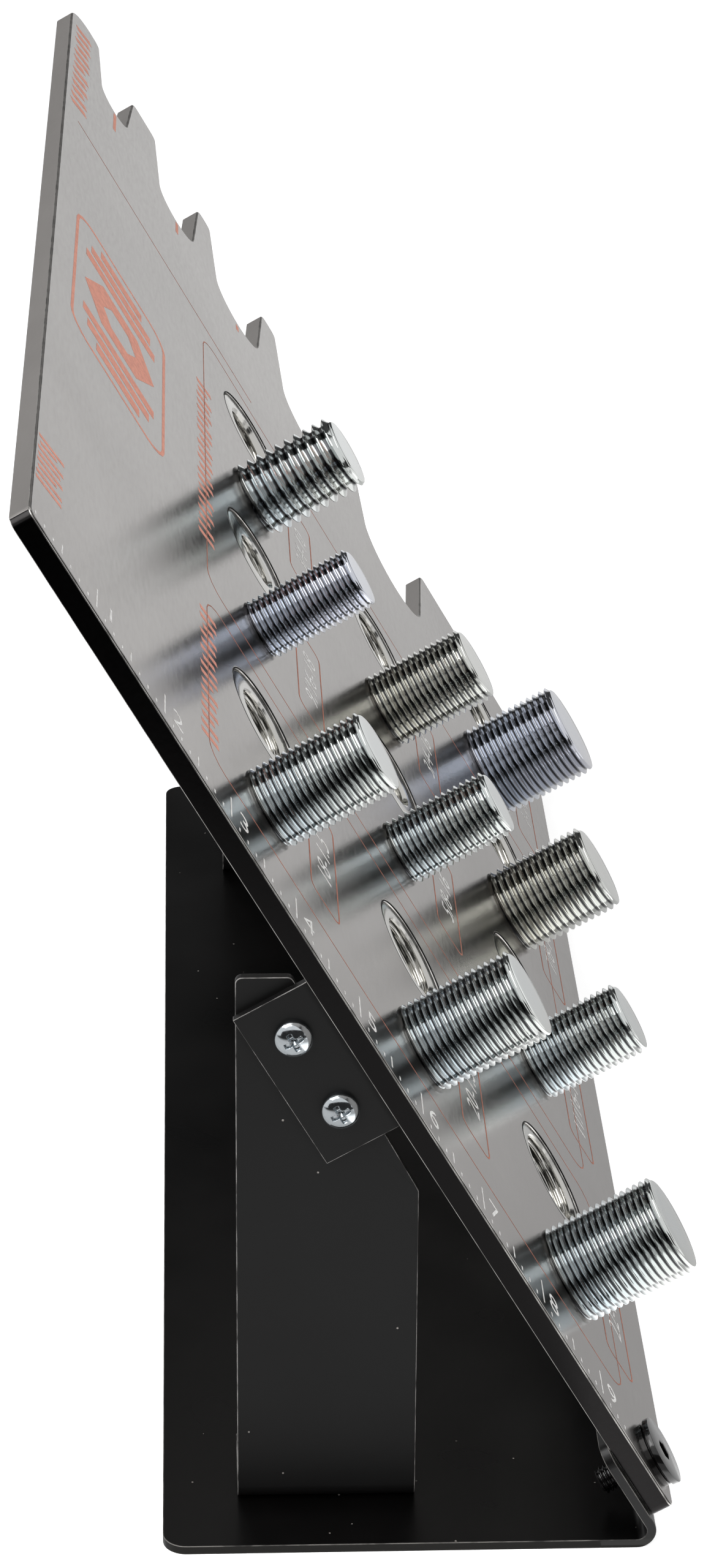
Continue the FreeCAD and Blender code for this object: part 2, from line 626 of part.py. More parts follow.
def leg(side):
    """A leg: a wall cut to the plate's slope, with a foot folded towards the slots onto the base."""
    body = new_body(f"leg_{side}")
    wall = WALL_Y[side]
    profile = new_sketch(body, f"leg_profile_{side}", "YZ_Plane", "-base_depth / 2 + leg_back")
    polygon(
        profile,
        [
            (wall, "sheet_thick"),
            (f"{wall} + foot_width", "sheet_thick"),
            (f"{wall} + foot_width", "2 * sheet_thick"),
            (f"{wall} + sheet_thick", "2 * sheet_thick"),
            (f"{wall} + sheet_thick", "leg_height"),
            (wall, "leg_height"),
        ],
    )
    folded = pad(body, profile, f"leg_blank_{side}", "leg_depth")
    thick = size("sheet_thick")
    outer = upright_at(folded, [(wall_at(side), thick)], 0)
    bent = soften(body, folded, "Fillet", "outer_bend_" + side, outer, "bend_inner + sheet_thick")
    inner = upright_at(bent, [(wall_at(side) + thick, 2 * thick)], 0)
    bent = soften(body, bent, "Fillet", "inner_bend_" + side, inner, "bend_inner")

    # The sloped edge starts leg_gap behind the plate, at the leg's front, and leans back a little more
    slope = new_sketch(body, f"slope_{side}", "XZ_Plane")
    front = "( -base_depth / 2 + leg_back + leg_depth )"
    start = f"( ( {front_edge()} - leg_gap / sin( plate_tilt ) - {front} ) * tan( plate_tilt ) )"
    steep = "tan( plate_tilt + leg_lean )"
    high = "( leg_height + cut_past )"
    polygon(
        slope,
        [
            (f"{front} - ( {high} - {start} ) / {steep}", high),
            (f"{front} + cut_past", f"{start} - cut_past * {steep}"),
            (f"{front} + cut_past", high),
        ],
    )
    sloped = pocket(body, slope, f"slope_cut_{side}", "2 * base_width", middle=True)
    rear = -size("base_depth") / 2 + size("leg_back")
    ahead = rear + size("leg_depth")
    start_at = (FRONT_EDGE - size("leg_gap") / math.sin(TILT) - ahead) * math.tan(TILT)
    top = size("leg_height")
    top_ahead = ahead - (top - start_at) / math.tan(TILT + math.radians(size("leg_lean")))
    corners = [(rear, top), (top_ahead, top), (ahead, start_at)]
    top_width = f"( leg_depth - ( leg_height - {start} ) / {steep} )"
    radius = f"min( leg_corner ; {CORNER_SHARE} * {top_width} )"
    soften(body, sloped, "Fillet", "leg_corners_" + side, upright_at(sloped, corners, 1), radius)

    feet = new_sketch(body, f"foot_holes_{side}", "XY_Plane")
    for place, across in FOOT_X.items():
        circle(feet, across, FOOT_Y[side], "foot_bolt / 2", f"foot_{place}_")
    pocket(body, feet, f"foot_bores_{side}", "6 * sheet_thick", middle=True)
    walls = new_sketch(body, f"wall_holes_{side}", "XZ_Plane")
    for place, down in TAB_ROWS.items():
        across, up = behind_plate(down, "tab_screw_back")
        circle(walls, across, up, "small_screw / 2", f"wall_{place}_")
    pocket(body, walls, f"wall_bores_{side}", "2 * base_width", middle=True)
    return body


def behind_plate(down, back):
    """World x and z, as expressions, of a point down the plate and behind its back face."""
    foot = "( plate_lift - plate_thick * cos( plate_tilt ) )"
    rise = f"( plate_height - ( {down} ) )"
    across = (
        f"{front_edge()} - {foot} / tan( plate_tilt ) - {rise} * cos( plate_tilt )"
        f" - {back} * sin( plate_tilt )"
    )
    up = f"{foot} + {rise} * sin( plate_tilt ) - {back} * cos( plate_tilt )"
    return across, up


def tab_outside(side):
    """The plate's side edge to the outer face of a bracket's tab."""
    overhang = (size("base_width") - size("plate_width")) / 2
    return size(f"leg_inset_{side}") - size("sheet_thick") - overhang


def bracket(side):
    """An angle bracket: a tab outside the leg's wall and a flange on the plate's back."""
    body = new_body(f"bracket_{side}")
    mirror = side == "right"
    out = f"plate_width - {TAB_OUTSIDE[side]}" if mirror else TAB_OUTSIDE[side]
    inward = "-" if mirror else "+"
    back = "-plate_thick"
    profile = new_sketch(body, f"bracket_profile_{side}", "XZ_Plane", "bracket_top")
    polygon(
        profile,
        [
            (out, back),
            (f"{out} {inward} flange_reach", back),
            (f"{out} {inward} flange_reach", f"{back} - sheet_thick"),
            (f"{out} {inward} sheet_thick", f"{back} - sheet_thick"),
            (f"{out} {inward} sheet_thick", f"{back} - tab_reach"),
            (out, f"{back} - tab_reach"),
        ],
    )
    folded = pad(body, profile, f"bracket_blank_{side}", "bracket_long")
    outside = tab_outside(side)
    thick = size("sheet_thick")
    behind = -size("plate_thick")
    tab = size("plate_width") - outside if mirror else outside
    step = -thick if mirror else thick
    outer = upright_at(folded, [(tab, behind)], 1)
    bent = soften(body, folded, "Fillet", "outer_turn_" + side, outer, "bend_inner + sheet_thick")
    inner = upright_at(bent, [(tab + step, behind - thick)], 1)
    soften(body, bent, "Fillet", "inner_turn_" + side, inner, "bend_inner")

    tab_holes = new_sketch(body, f"tab_holes_{side}", "YZ_Plane")
    flange_holes = new_sketch(body, f"flange_holes_{side}", "XY_Plane")
    for place, down in TAB_ROWS.items():
        circle(tab_holes, f"-( {down} )", f"{back} - tab_screw_back", "small_screw / 2", f"tab_{place}_")
        circle(flange_holes, FLANGE_SCREWS[side], f"-( {down} )", "small_screw / 2", f"flange_{place}_")
    pocket(body, tab_holes, f"tab_bores_{side}", "2 * plate_width", middle=True)
    pocket(body, flange_holes, f"flange_bores_{side}", "4 * plate_thick", middle=True)
    body.Placement = PLATE_FRAME
    return body


def cross_recess(body, name):
    """A cross-shaped recess in a pan head, cut down from its crown."""
    sketch = new_sketch(body, name, "XY_Plane", "pan_high")
    arm, half = "cross_long / 2", "cross_wide / 2"
    polygon(
        sketch,
        [
            (arm, f"-{half}"), (arm, half), (half, half), (half, arm),
            (f"-{half}", arm), (f"-{half}", half), (f"-{arm}", half), (f"-{arm}", f"-{half}"),
            (f"-{half}", f"-{half}"), (f"-{half}", f"-{arm}"), (half, f"-{arm}"), (half, f"-{half}"),
        ],
    )
    pocket(body, sketch, name + "_cut", "cross_deep")


def pan_screw(name, length):
    """A pan-head screw along +Z, the underside of its head at zero."""
    body = new_body(name)
    half = new_sketch(body, f"{name}_half", "XZ_Plane")
    polygon(
        half,
        [
            ("0", f"-( {length} )"),
            ("small_screw / 2 - end_bevel", f"-( {length} )"),
            ("small_screw / 2", f"-( {length} ) + end_bevel"),
            ("small_screw / 2", "0"),
            ("pan_head / 2", "0"),
            ("pan_head / 2", "pan_side"),
            ("pan_shoulder / 2", "pan_shoulder_up"),
            ("pan_crown / 2", "pan_high"),
            ("0", "pan_high"),
        ],
    )
    turned(body, half)
    cross_recess(body, f"{name}_cross")
    return body


def hexagon(sketch, across_flats, tag):
    """A hexagon about the origin, its size across flats an expression."""
    reach = f"( {across_flats} ) / 2"
    corner = f"( {across_flats} ) / sqrt( 3 )"
    polygon(
        sketch,
        [
            (corner, "0"),
            (f"{corner} / 2", reach),
            (f"-{corner} / 2", reach),
            (f"-{corner}", "0"),
            (f"-{corner} / 2", f"-{reach}"),
            (f"{corner} / 2", f"-{reach}"),
        ],
        tag,
    )


def nut(name, across_flats, height, bore):
    """A hexagon nut on +Z, standing on zero."""
    body = new_body(name)
    sketch = new_sketch(body, f"{name}_hexagon", "XY_Plane")
    hexagon(sketch, across_flats, "nut")
    pad(body, sketch, f"{name}_blank", height)
    hole = new_sketch(body, f"{name}_hole", "XY_Plane")
    circle(hole, "0", "0", f"{bore} / 2", "bore")
    pocket(body, hole, f"{name}_bore", height, backwards=True)
    return body


def lip_screw():
    """A flat-headed socket screw along +Z, the underside of its head at zero."""
    body = new_body("lip_screw_pattern")
    half = new_sketch(body, "lip_screw_half", "XZ_Plane")
    end = "-( plate_thick + sheet_thick + lip_boss_high + lip_screw_out )"
    polygon(
        half,
        [
            ("0", end),
            ("lip_screw / 2 - bolt_bevel", end),
            ("lip_screw / 2", f"{end} + bolt_bevel"),
            ("lip_screw / 2", "0"),
            ("lip_head / 2", "0"),
            ("lip_head / 2", "lip_head_high - lip_head_bevel"),
            ("lip_head / 2 - lip_head_bevel", "lip_head_high"),
            ("0", "lip_head_high"),
        ],
    )
    turned(body, half)
    socket = new_sketch(body, "socket", "XY_Plane", "lip_head_high")
    hexagon(socket, "lip_socket", "socket")
    pocket(body, socket, "socket_cut", "lip_socket_deep")
    return body


def foot_bolt():
    """A bolt pressed up through the base, its thin head flush with the underside."""
    body = new_body("foot_bolt_pattern")
    half = new_sketch(body, "foot_bolt_half", "XZ_Plane")
    top = "( 2 * sheet_thick + nut_foot_high + foot_bolt_spare )"
    polygon(
        half,
        [
            ("0", "0"),
            ("foot_head / 2", "0"),
            ("foot_head / 2", "foot_head_high"),
            ("foot_bolt / 2", "foot_head_high"),
            ("foot_bolt / 2", f"{top} - bolt_bevel"),
            ("foot_bolt / 2 - bolt_bevel", top),
            ("0", top),
        ],
    )
    turned(body, half)
    return body


def group(label, pattern, places):
    """One node of equal fasteners: a separate solid of the pattern at each place."""
    feature = doc.addObject("Part::Feature", label)
    feature.Label = label
    copies = []
    for place in places:
        copy = pattern.Shape.copy()
        copy.Placement = place * copy.Placement
        copies.append(copy)
    feature.Shape = Part.makeCompound(copies)
    return feature


def tab_places(out_of_tab):
    """Places on the four tab screws' axes, +Z pointing away from the plate's middle."""
    step = size("tab_screw_step")
    middle = size("bracket_top") + size("bracket_long") / 2
    places = []
    for side, sign in zip(SIDES, (-1, 1)):
        turn = FreeCAD.Rotation(FreeCAD.Vector(1, 0, 0), -90 * sign)
        outside = size("plate_width") / 2 - tab_outside(side)
        for down in (middle - step / 2, middle + step / 2):
            at = on_plate(0, down, -size("plate_thick") - size("tab_screw_back")).Base
            at.y = sign * (outside + out_of_tab)
            places.append(FreeCAD.Placement(at, turn))
    return places


def flange_places():
    """Places on the four flange screws' axes, +Z pointing backwards from the flange."""
    step = size("tab_screw_step")
    middle = size("bracket_top") + size("bracket_long") / 2
    back = -size("plate_thick") - size("sheet_thick")
    about = FreeCAD.Placement(FreeCAD.Vector(), FreeCAD.Rotation(FreeCAD.Vector(1, 0, 0), 180))
    places = []
    for side in SIDES:
        inset = tab_outside(side) + size("flange_screw_in")
        for down in (middle - step / 2, middle + step / 2):
            places.append(screw_place(side, (inset, down, back)) * about)
    return places


def foot_places(up):
    """Places on the four foot bolts' axes at a height."""
    rear = -size("base_depth") / 2 + size("leg_back")
    inset = size("foot_hole_inset")
    places = []
    for side in SIDES:
        y = wall_at(side) + size("foot_hole_side")
        for x in (rear + inset, rear + size("leg_depth") - inset):
            places.append(FreeCAD.Placement(FreeCAD.Vector(x, y, up), FreeCAD.Rotation()))
    return places


nodes = [gauge_plate(), base()]
for side in SIDES:
    nodes.append(leg(side))
    nodes.append(bracket(side))
for gauge in GAUGES:
    nodes.append(stud(*gauge))
    nodes.append(insert(*gauge))

tab_length = "2 * sheet_thick + nut_small_high + screw_spare"
tab_pattern = pan_screw("tab_screw_pattern", tab_length)
flange_pattern = pan_screw("flange_screw_pattern", "sheet_thick + blind_depth - blind_spare")
nut_pattern = nut("nut_pattern", "nut_small", "nut_small_high", "small_screw")
foot_nut_pattern = nut("foot_nut_pattern", "nut_foot", "nut_foot_high", "foot_bolt")
lip_pattern = lip_screw()
foot_pattern = foot_bolt()
doc.recompute()

inside_leg = -2 * size("sheet_thick") - size("nut_small_high")
screw_down = size("plate_height") - size("lip_screw_up")
lip_places = [screw_place(side, (lip_inset(), screw_down, 0.0)) for side in SIDES]
nodes.append(group("tab_screws", tab_pattern, tab_places(0.0)))
nodes.append(group("tab_nuts", nut_pattern, tab_places(inside_leg)))
nodes.append(group("flange_screws", flange_pattern, flange_places()))
nodes.append(group("lip_screws", lip_pattern, lip_places))
nodes.append(group("foot_bolts", foot_pattern, foot_places(0.0)))
nodes.append(group("foot_nuts", foot_nut_pattern, foot_places(2 * size("sheet_thick"))))
doc.recompute()

for item in doc.Objects:
    if "Invalid" in item.State or "Error" in item.State:
        raise RuntimeError(f"{item.Label} failed: {item.State}")
for node in nodes:
    if node.Shape.isNull() or not node.Shape.isValid():
        raise RuntimeError(f"{node.Label} has no valid shape")
for node in nodes:
    node.Shape.exportStep(f"parts/{node.Label}.step")
    box = node.Shape.BoundBox
    print(
        node.Label, len(node.Shape.Solids), round(node.Shape.Volume, 1),
        [round(v, 2) for v in (box.XMin, box.YMin, box.ZMin, box.XMax, box.YMax, box.ZMax)],
    )
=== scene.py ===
"""Thread checker: a satin steel gauge plate leaning back on a black folded stand.

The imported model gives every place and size. Studs and inserts get their true helical threads here, the
sheet pieces get eased edges, and the plate gets its ruler, numbers, frames and headings.
Lengths are in metres, and the plate has its own frame: across from the ruler edge, down from the top
edge and out of the front face.
"""
import json
import logging
import math
from dataclasses import dataclass, field
from enum import Enum
from typing import Callable, Dict, List, Optional, Sequence, Tuple, Union

import bmesh
import bpy
import numpy as np
from mathutils import Matrix, Vector


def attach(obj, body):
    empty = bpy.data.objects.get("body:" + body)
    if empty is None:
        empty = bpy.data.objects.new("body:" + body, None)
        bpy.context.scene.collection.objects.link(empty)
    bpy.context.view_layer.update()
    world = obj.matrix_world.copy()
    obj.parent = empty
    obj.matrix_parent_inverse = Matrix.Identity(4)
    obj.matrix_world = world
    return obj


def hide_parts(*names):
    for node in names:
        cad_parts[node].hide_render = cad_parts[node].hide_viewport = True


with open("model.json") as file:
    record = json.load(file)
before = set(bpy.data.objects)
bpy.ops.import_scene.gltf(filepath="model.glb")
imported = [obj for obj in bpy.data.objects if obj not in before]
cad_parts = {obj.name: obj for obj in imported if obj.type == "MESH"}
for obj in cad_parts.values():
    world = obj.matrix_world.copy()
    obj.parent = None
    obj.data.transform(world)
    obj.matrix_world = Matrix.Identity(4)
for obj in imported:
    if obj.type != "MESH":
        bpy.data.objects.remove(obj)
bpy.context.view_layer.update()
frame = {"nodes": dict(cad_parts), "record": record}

LOG = logging.getLogger("thread_checker")
MM = 0.001
INCH = 0.0254
BODY = "root"
MERGE_DISTANCE = 2e-6

# Angles in degrees under which the edges of threads, domed heads and nuts are shaded smooth.
THREAD_SMOOTH = 28
DOME_SMOOTH = 40
NUT_SMOOTH = 25

# A noise texture's values gather round a half: these spans of them are spread out over a pattern.
MIDDLE_SPAN = (0.35, 0.65)
WIDE_SPAN = (0.3, 0.7)

# Across, down and out are a left-handed set, so a turned piece's second axis is flipped on the plate.
FLIP_SECOND = np.array([1.0, -1.0, 1.0])

# How much a turned piece's tint changes with the angle, as a share of its radius.
DRIFT = 0.3

Array = np.ndarray
Colour = Tuple[float, float, float, float]
Place = Tuple[float, float]
Number = Union[float, bpy.types.NodeSocket]
Tint = Union[Colour, bpy.types.NodeSocket]


def shade(red: float, green: float, blue: float) -> Colour:
    """A colour given as 0 to 255 screen values, as the linear colour that a shader takes.

    Args:
        red, green, blue: the screen values.

    Returns:
        Linear red, green, blue and an alpha of 1. Each is (v / 255) to the power 2.2.
    """
    linear = (np.array([red, green, blue]) / 255.0) ** 2.2
    return (float(linear[0]), float(linear[1]), float(linear[2]), 1.0)


class Slot(Enum):
    """The record's material slots."""

    PLATE = "satin_steel"
    SHEET = "black_sheet"
    ZINC = "zinc_steel"
    INSERT = "insert_steel"
    SCREW = "screw_steel"


# Shader building blocks


class Wiring:
    """Adds nodes to one node tree and joins them up."""

    def __init__(self, tree: bpy.types.NodeTree) -> None:
        """Keeps the tree that nodes go into."""
        self.tree = tree

    def node(self, kind: str, inputs: Optional[dict] = None, **settings: object) -> bpy.types.Node:
        """Adds a node.

        Args:
            kind: the node's type name.
            inputs: socket name or number to a value, or to the output socket that feeds it.
            settings: properties of the node itself.

        Returns:
            The new node.
        """
        made = self.tree.nodes.new(kind)
        for name, value in settings.items():
            setattr(made, name, value)
        for socket, value in (inputs or {}).items():
            if isinstance(value, bpy.types.NodeSocket):
                self.tree.links.new(value, made.inputs[socket])
            else:
                made.inputs[socket].default_value = value
        return made

    def maths(self, operation: str, *terms: Number) -> bpy.types.NodeSocket:
        """A Math node's result for one or two terms."""
        return self.node("ShaderNodeMath", dict(enumerate(terms)), operation=operation).outputs[0]

    def ramp(self, value: bpy.types.NodeSocket, low: float, high: float, start: float = 0.0,
             end: float = 1.0) -> bpy.types.NodeSocket:
        """A value between low and high spread evenly over start to end.

        Args:
            value: the value, which is held between low and high.
            low, high: the span that it comes from.
            start, end: what low and high become.

        Returns:
            The new value's socket.
        """
        made = self.node(
            "ShaderNodeMapRange",
            {"Value": value, "From Min": low, "From Max": high, "To Min": start, "To Max": end},
        )
        return made.outputs["Result"]

    def blend(self, factor: bpy.types.NodeSocket, first: Tint, second: Tint) -> bpy.types.NodeSocket:
        """A colour between two colours.

        Args:
            factor: 0 for the first and 1 for the second.
            first, second: each a colour or the output socket of one.

        Returns:
            The mixed colour's socket.
        """
        made = self.node("ShaderNodeMix", {"Factor": factor}, data_type="RGBA")
        colours = [socket for socket in made.inputs if socket.type == "RGBA"]
        for socket, value in zip(colours, (first, second)):
            if isinstance(value, bpy.types.NodeSocket):
                self.tree.links.new(value, socket)
            else:
                socket.default_value = value
        return next(socket for socket in made.outputs if socket.type == "RGBA")

    def feed(self, source: bpy.types.NodeSocket, node: bpy.types.Node, socket: str) -> None:
        """Joins an output to a node's named input."""
        self.tree.links.new(source, node.inputs[socket])

    def object_place(self) -> bpy.types.NodeSocket:
        """The point in the object's own coordinates."""
        return self.node("ShaderNodeTexCoord").outputs["Object"]

    def component(self, vector: bpy.types.NodeSocket, axis: str) -> bpy.types.NodeSocket:
        """One coordinate of a vector."""
        return self.node("ShaderNodeSeparateXYZ", {"Vector": vector}).outputs[axis]

    def effect(self, group: bpy.types.NodeTree, vector: bpy.types.NodeSocket, **values: float
               ) -> bpy.types.Node:
        """Places a shared effect with its own values.

        Args:
            group: the effect's node group.
            vector: the place or attribute that it reads.
            values: its numbers, with underscores for spaces.

        Returns:
            The group's node.
        """
        made = self.node("ShaderNodeGroup", {}, node_tree=group)
        self.feed(vector, made, "Vector")
        for name, value in values.items():
            made.inputs[name.replace("_", " ")].default_value = value
        return made

    def uneven(self, noise: bpy.types.NodeSocket, middle: float, less: float, more: float
               ) -> bpy.types.NodeSocket:
        """A roughness that a noise takes from middle - less up to middle + more."""
        return self.ramp(noise, *WIDE_SPAN, middle - less, middle + more)

    def relief(self, height: bpy.types.NodeSocket, strength: float, distance: float
               ) -> bpy.types.NodeSocket:
        """A normal bent by a height that changes over the surface."""
        made = self.node("ShaderNodeBump", {"Height": height, "Strength": strength, "Distance": distance})
        return made.outputs[0]


def new_group(name: str, inputs: Dict[str, float], outputs: Sequence[str]) -> Tuple[Wiring, dict, dict]:
    """An empty shader node group whose first input is a vector.

    Args:
        name: the group's name.
        inputs: name and default of each number that it takes after Vector.
        outputs: names of the numbers that it gives.

    Returns:
        Its wiring, its inputs' sockets by name, and its outputs' sockets by name.
    """
    tree = bpy.data.node_groups.new(name, "ShaderNodeTree")
    tree.interface.new_socket("Vector", in_out="INPUT", socket_type="NodeSocketVector")
    for label, default in inputs.items():
        socket = tree.interface.new_socket(label, in_out="INPUT", socket_type="NodeSocketFloat")
        socket.default_value = default
    for label in outputs:
        tree.interface.new_socket(label, in_out="OUTPUT", socket_type="NodeSocketFloat")
    wiring = Wiring(tree)
    entry = wiring.node("NodeGroupInput")
    leave = wiring.node("NodeGroupOutput")
    return wiring, entry.outputs, leave.inputs


def make_grain_group() -> bpy.types.NodeTree:
    """Rolled and brushed grain: noise stretched along one axis, over broad soft mottling.

    Returns:
        The group, which gives Grain and Mottle.
    """
    wiring, given, result = new_group(
        "rolled_grain", {"Scale": 400.0, "Stretch": 0.03, "Mottle Scale": 9.0}, ("Grain", "Mottle")
    )
    stretch = wiring.node("ShaderNodeCombineXYZ", {"X": 1.0, "Y": given["Stretch"], "Z": 1.0})
    lengthened = wiring.node(
        "ShaderNodeVectorMath", {0: given["Vector"], 1: stretch.outputs[0]}, operation="MULTIPLY"
    )
    grain = wiring.node(
        "ShaderNodeTexNoise",
        {"Vector": lengthened.outputs[0], "Scale": given["Scale"], "Detail": 3.0, "Roughness": 0.6},
    )
    mottle = wiring.node(
        "ShaderNodeTexNoise",
        {"Vector": given["Vector"], "Scale": given["Mottle Scale"], "Detail": 4.0, "Roughness": 0.55},
    )
    wiring.tree.links.new(grain.outputs["Fac"], result["Grain"])
    wiring.tree.links.new(mottle.outputs["Fac"], result["Mottle"])
    return wiring.tree


def make_specks_group() -> bpy.types.NodeTree:
    """Small round specks: 1 inside a share of the cells of a random point pattern, else 0.

    Returns:
        The group, which gives Mask.
    """
    wiring, given, result = new_group(
        "specks", {"Scale": 200.0, "Size": 0.12, "Share": 0.2}, ("Mask",)
    )
    cells = wiring.node("ShaderNodeTexVoronoi", {"Vector": given["Vector"], "Scale": given["Scale"]})
    near = wiring.maths("LESS_THAN", cells.outputs["Distance"], given["Size"])
    chance = wiring.node("ShaderNodeSeparateColor", {"Color": cells.outputs["Color"]})
    chosen = wiring.maths("LESS_THAN", chance.outputs[0], given["Share"])
    mask = wiring.maths("MULTIPLY", near, chosen)
    wiring.tree.links.new(mask, result["Mask"])
    return wiring.tree


def make_turning_group() -> bpy.types.NodeTree:
    """Lathe marks: fine rings that follow the distance from a piece's axis, held in an attribute.

    Returns:
        The group, which gives Rings and Tint.
    """
    wiring, given, result = new_group("turning_marks", {"Rings": 3000.0, "Drift": 40.0}, ("Rings", "Tint"))
    apart = wiring.node("ShaderNodeSeparateXYZ", {"Vector": given["Vector"]})
    rings = wiring.node(
        "ShaderNodeTexNoise", {"W": apart.outputs["X"], "Scale": given["Rings"], "Detail": 2.0},
        noise_dimensions="1D",
    )
    tint = wiring.node(
        "ShaderNodeTexNoise", {"Vector": given["Vector"], "Scale": given["Drift"], "Detail": 2.0}
    )
    wiring.tree.links.new(rings.outputs["Fac"], result["Rings"])
    wiring.tree.links.new(tint.outputs["Fac"], result["Tint"])
    return wiring.tree


@dataclass
class Shaders:
    """The shared effects, each built once."""

    grain: bpy.types.NodeTree = field(default_factory=make_grain_group)
    specks: bpy.types.NodeTree = field(default_factory=make_specks_group)
    turning: bpy.types.NodeTree = field(default_factory=make_turning_group)


def new_material(name: str, **sockets: object) -> Tuple[bpy.types.Material, Wiring, bpy.types.Node]:
    """A material with a Principled shader.

    Args:
        name: the material's name.
        sockets: values of the shader's own sockets, with underscores for spaces.

    Returns:
        The material, its wiring and its shader node.
    """
    material = bpy.data.materials.new(name)
    material.use_nodes = True
    wiring = Wiring(material.node_tree)
    shader = next(n for n in material.node_tree.nodes if n.type == "BSDF_PRINCIPLED")
    for socket, value in sockets.items():
        shader.inputs[socket.replace("_", " ")].default_value = value
    return material, wiring, shader


def place_pattern(wiring: Wiring, tilt: float) -> bpy.types.NodeSocket:
    """Object coordinates turned about Y, so that patterns lie along the tilted plate.

    Args:
        wiring: the material's wiring.
        tilt: the plate's turn about Y.

    Returns:
        The turned coordinates.
    """
    turned = wiring.node(
        "ShaderNodeMapping", {"Vector": wiring.object_place(), "Rotation": (0.0, tilt, 0.0)}
    )
    return turned.outputs[0]


@dataclass(frozen=True)
class PlateSteel:
    """Satin rolled stainless: broad warm mottling, a faint grain and a few dark pits."""

    light: Colour = shade(188, 184, 181)
    dark: Colour = shade(176, 172, 169)
    pit: Colour = shade(96, 94, 92)
    # Darker tone of the ruler's cut edge, where it faces the near side.
    scale: Colour = shade(43, 42, 42)
    roughness: float = 0.19
    smoother: float = 0.02
    rougher: float = 0.03
    edge_tint: float = 0.8
    scale_deep: float = 2.6 * MM
    scale_facing: float = -0.35
    sawn: float = 0.24
    sawn_facing: float = 0.75
    grain_scale: float = 900.0
    grain_stretch: float = 0.25
    pit_scale: float = 170.0
    pit_size: float = 0.07
    pit_share: float = 0.16
    relief_strength: float = 0.035
    relief_deep: float = 0.2 * MM

    def material(self, shaders: Shaders, plate: "PlateFrame") -> bpy.types.Material:
        """The material, its grain along the plate and a darker tone on the ruler's cut edge where it faces
        the near side.

        Args:
            shaders: the shared effects.
            plate: the plate's frame.

        Returns:
            The material, rougher on the sawn top edge than on its faces.
        """
        made, wiring, shader = new_material(
            "plate_steel", Metallic=1.0, Specular_Tint=(self.edge_tint,) * 3 + (1.0,)
        )
        place = place_pattern(wiring, plate.tilt)
        grain = wiring.effect(shaders.grain, place, Scale=self.grain_scale, Stretch=self.grain_stretch)
        pits = wiring.effect(
            shaders.specks, place, Scale=self.pit_scale, Size=self.pit_size, Share=self.pit_share
        )
        base = wiring.blend(wiring.ramp(grain.outputs["Mottle"], *MIDDLE_SPAN), self.dark, self.light)
        pitted = wiring.blend(pits.outputs["Mask"], base, self.pit)
        normal = wiring.node("ShaderNodeNewGeometry").outputs["True Normal"]
        # The ruler's cut edge, facing the near side, takes the darker tone.
        cut_edge_end = float(plate.corner[1]) + self.scale_deep
        cut = wiring.maths(
            "MULTIPLY",
            wiring.maths("LESS_THAN", wiring.component(place, "Y"), cut_edge_end),
            wiring.maths("LESS_THAN", wiring.component(normal, "Y"), self.scale_facing),
        )
        wiring.feed(wiring.blend(cut, pitted, self.scale), shader, "Base Color")
        rough = wiring.uneven(grain.outputs["Grain"], self.roughness, self.smoother, self.rougher)
        upward = wiring.maths("GREATER_THAN", wiring.component(normal, "Z"), self.sawn_facing)
        sawn = wiring.maths("MULTIPLY", upward, self.sawn)
        wiring.feed(wiring.maths("ADD", rough, sawn), shader, "Roughness")
        bent = wiring.relief(grain.outputs["Grain"], self.relief_strength, self.relief_deep)
        wiring.feed(bent, shader, "Normal")
        return made


@dataclass(frozen=True)
class BlackSheet:
    """Black powder coat on sheet steel: a fine orange peel and a little pale dust.

    Where a height is given, the near cut edge under it is painted lighter where it faces the near side:
    painted light, as that face is lit.
    """

    colour: Colour = shade(8, 8, 8)
    faded: Colour = shade(12, 11, 11)
    dust: Colour = shade(120, 116, 112)
    # Lighter tone of the near cut edge: painted light where that face is lit.
    thin: Colour = shade(26, 25, 23)
    roughness: float = 0.3
    smoother: float = 0.04
    rougher: float = 0.06
    shine: float = 0.34
    name: str = "black_coat"
    thin_below: float = 0.0
    thin_facing: float = -0.7
    peel_scale: float = 1500.0
    cloud_scale: float = 30.0
    dust_scale: float = 420.0
    dust_size: float = 0.1
    dust_share: float = 0.05
    relief_strength: float = 0.05
    relief_deep: float = 0.1 * MM

    def material(self, shaders: Shaders) -> bpy.types.Material:
        """The material on object coordinates.

        Args:
            shaders: the shared effects.

        Returns:
            The material.
        """
        made, wiring, shader = new_material(self.name, Metallic=0.0, Specular_IOR_Level=self.shine)
        place = wiring.object_place()
        noise = "ShaderNodeTexNoise"
        peel = wiring.node(noise, {"Vector": place, "Scale": self.peel_scale, "Detail": 2.0})
        cloud = wiring.node(noise, {"Vector": place, "Scale": self.cloud_scale, "Detail": 3.0})
        dust = wiring.effect(
            shaders.specks, place, Scale=self.dust_scale, Size=self.dust_size, Share=self.dust_share
        )
        tone = wiring.blend(wiring.ramp(cloud.outputs["Fac"], *MIDDLE_SPAN), self.colour, self.faded)
        dusty = wiring.blend(dust.outputs["Mask"], tone, self.dust)
        normal = wiring.node("ShaderNodeNewGeometry").outputs["True Normal"]
        # Painted light: the near cut edge, low down and facing the near side, takes the lighter tone.
        cut = wiring.maths(
            "MULTIPLY",
            wiring.maths("LESS_THAN", wiring.component(place, "Z"), self.thin_below),
            wiring.maths("LESS_THAN", wiring.component(normal, "Y"), self.thin_facing),
        )
        wiring.feed(wiring.blend(cut, dusty, self.thin), shader, "Base Color")
        rough = wiring.uneven(cloud.outputs["Fac"], self.roughness, self.smoother, self.rougher)
        wiring.feed(rough, shader, "Roughness")
        bent = wiring.relief(peel.outputs["Fac"], self.relief_strength, self.relief_deep)
        wiring.feed(bent, shader, "Normal")
        return made


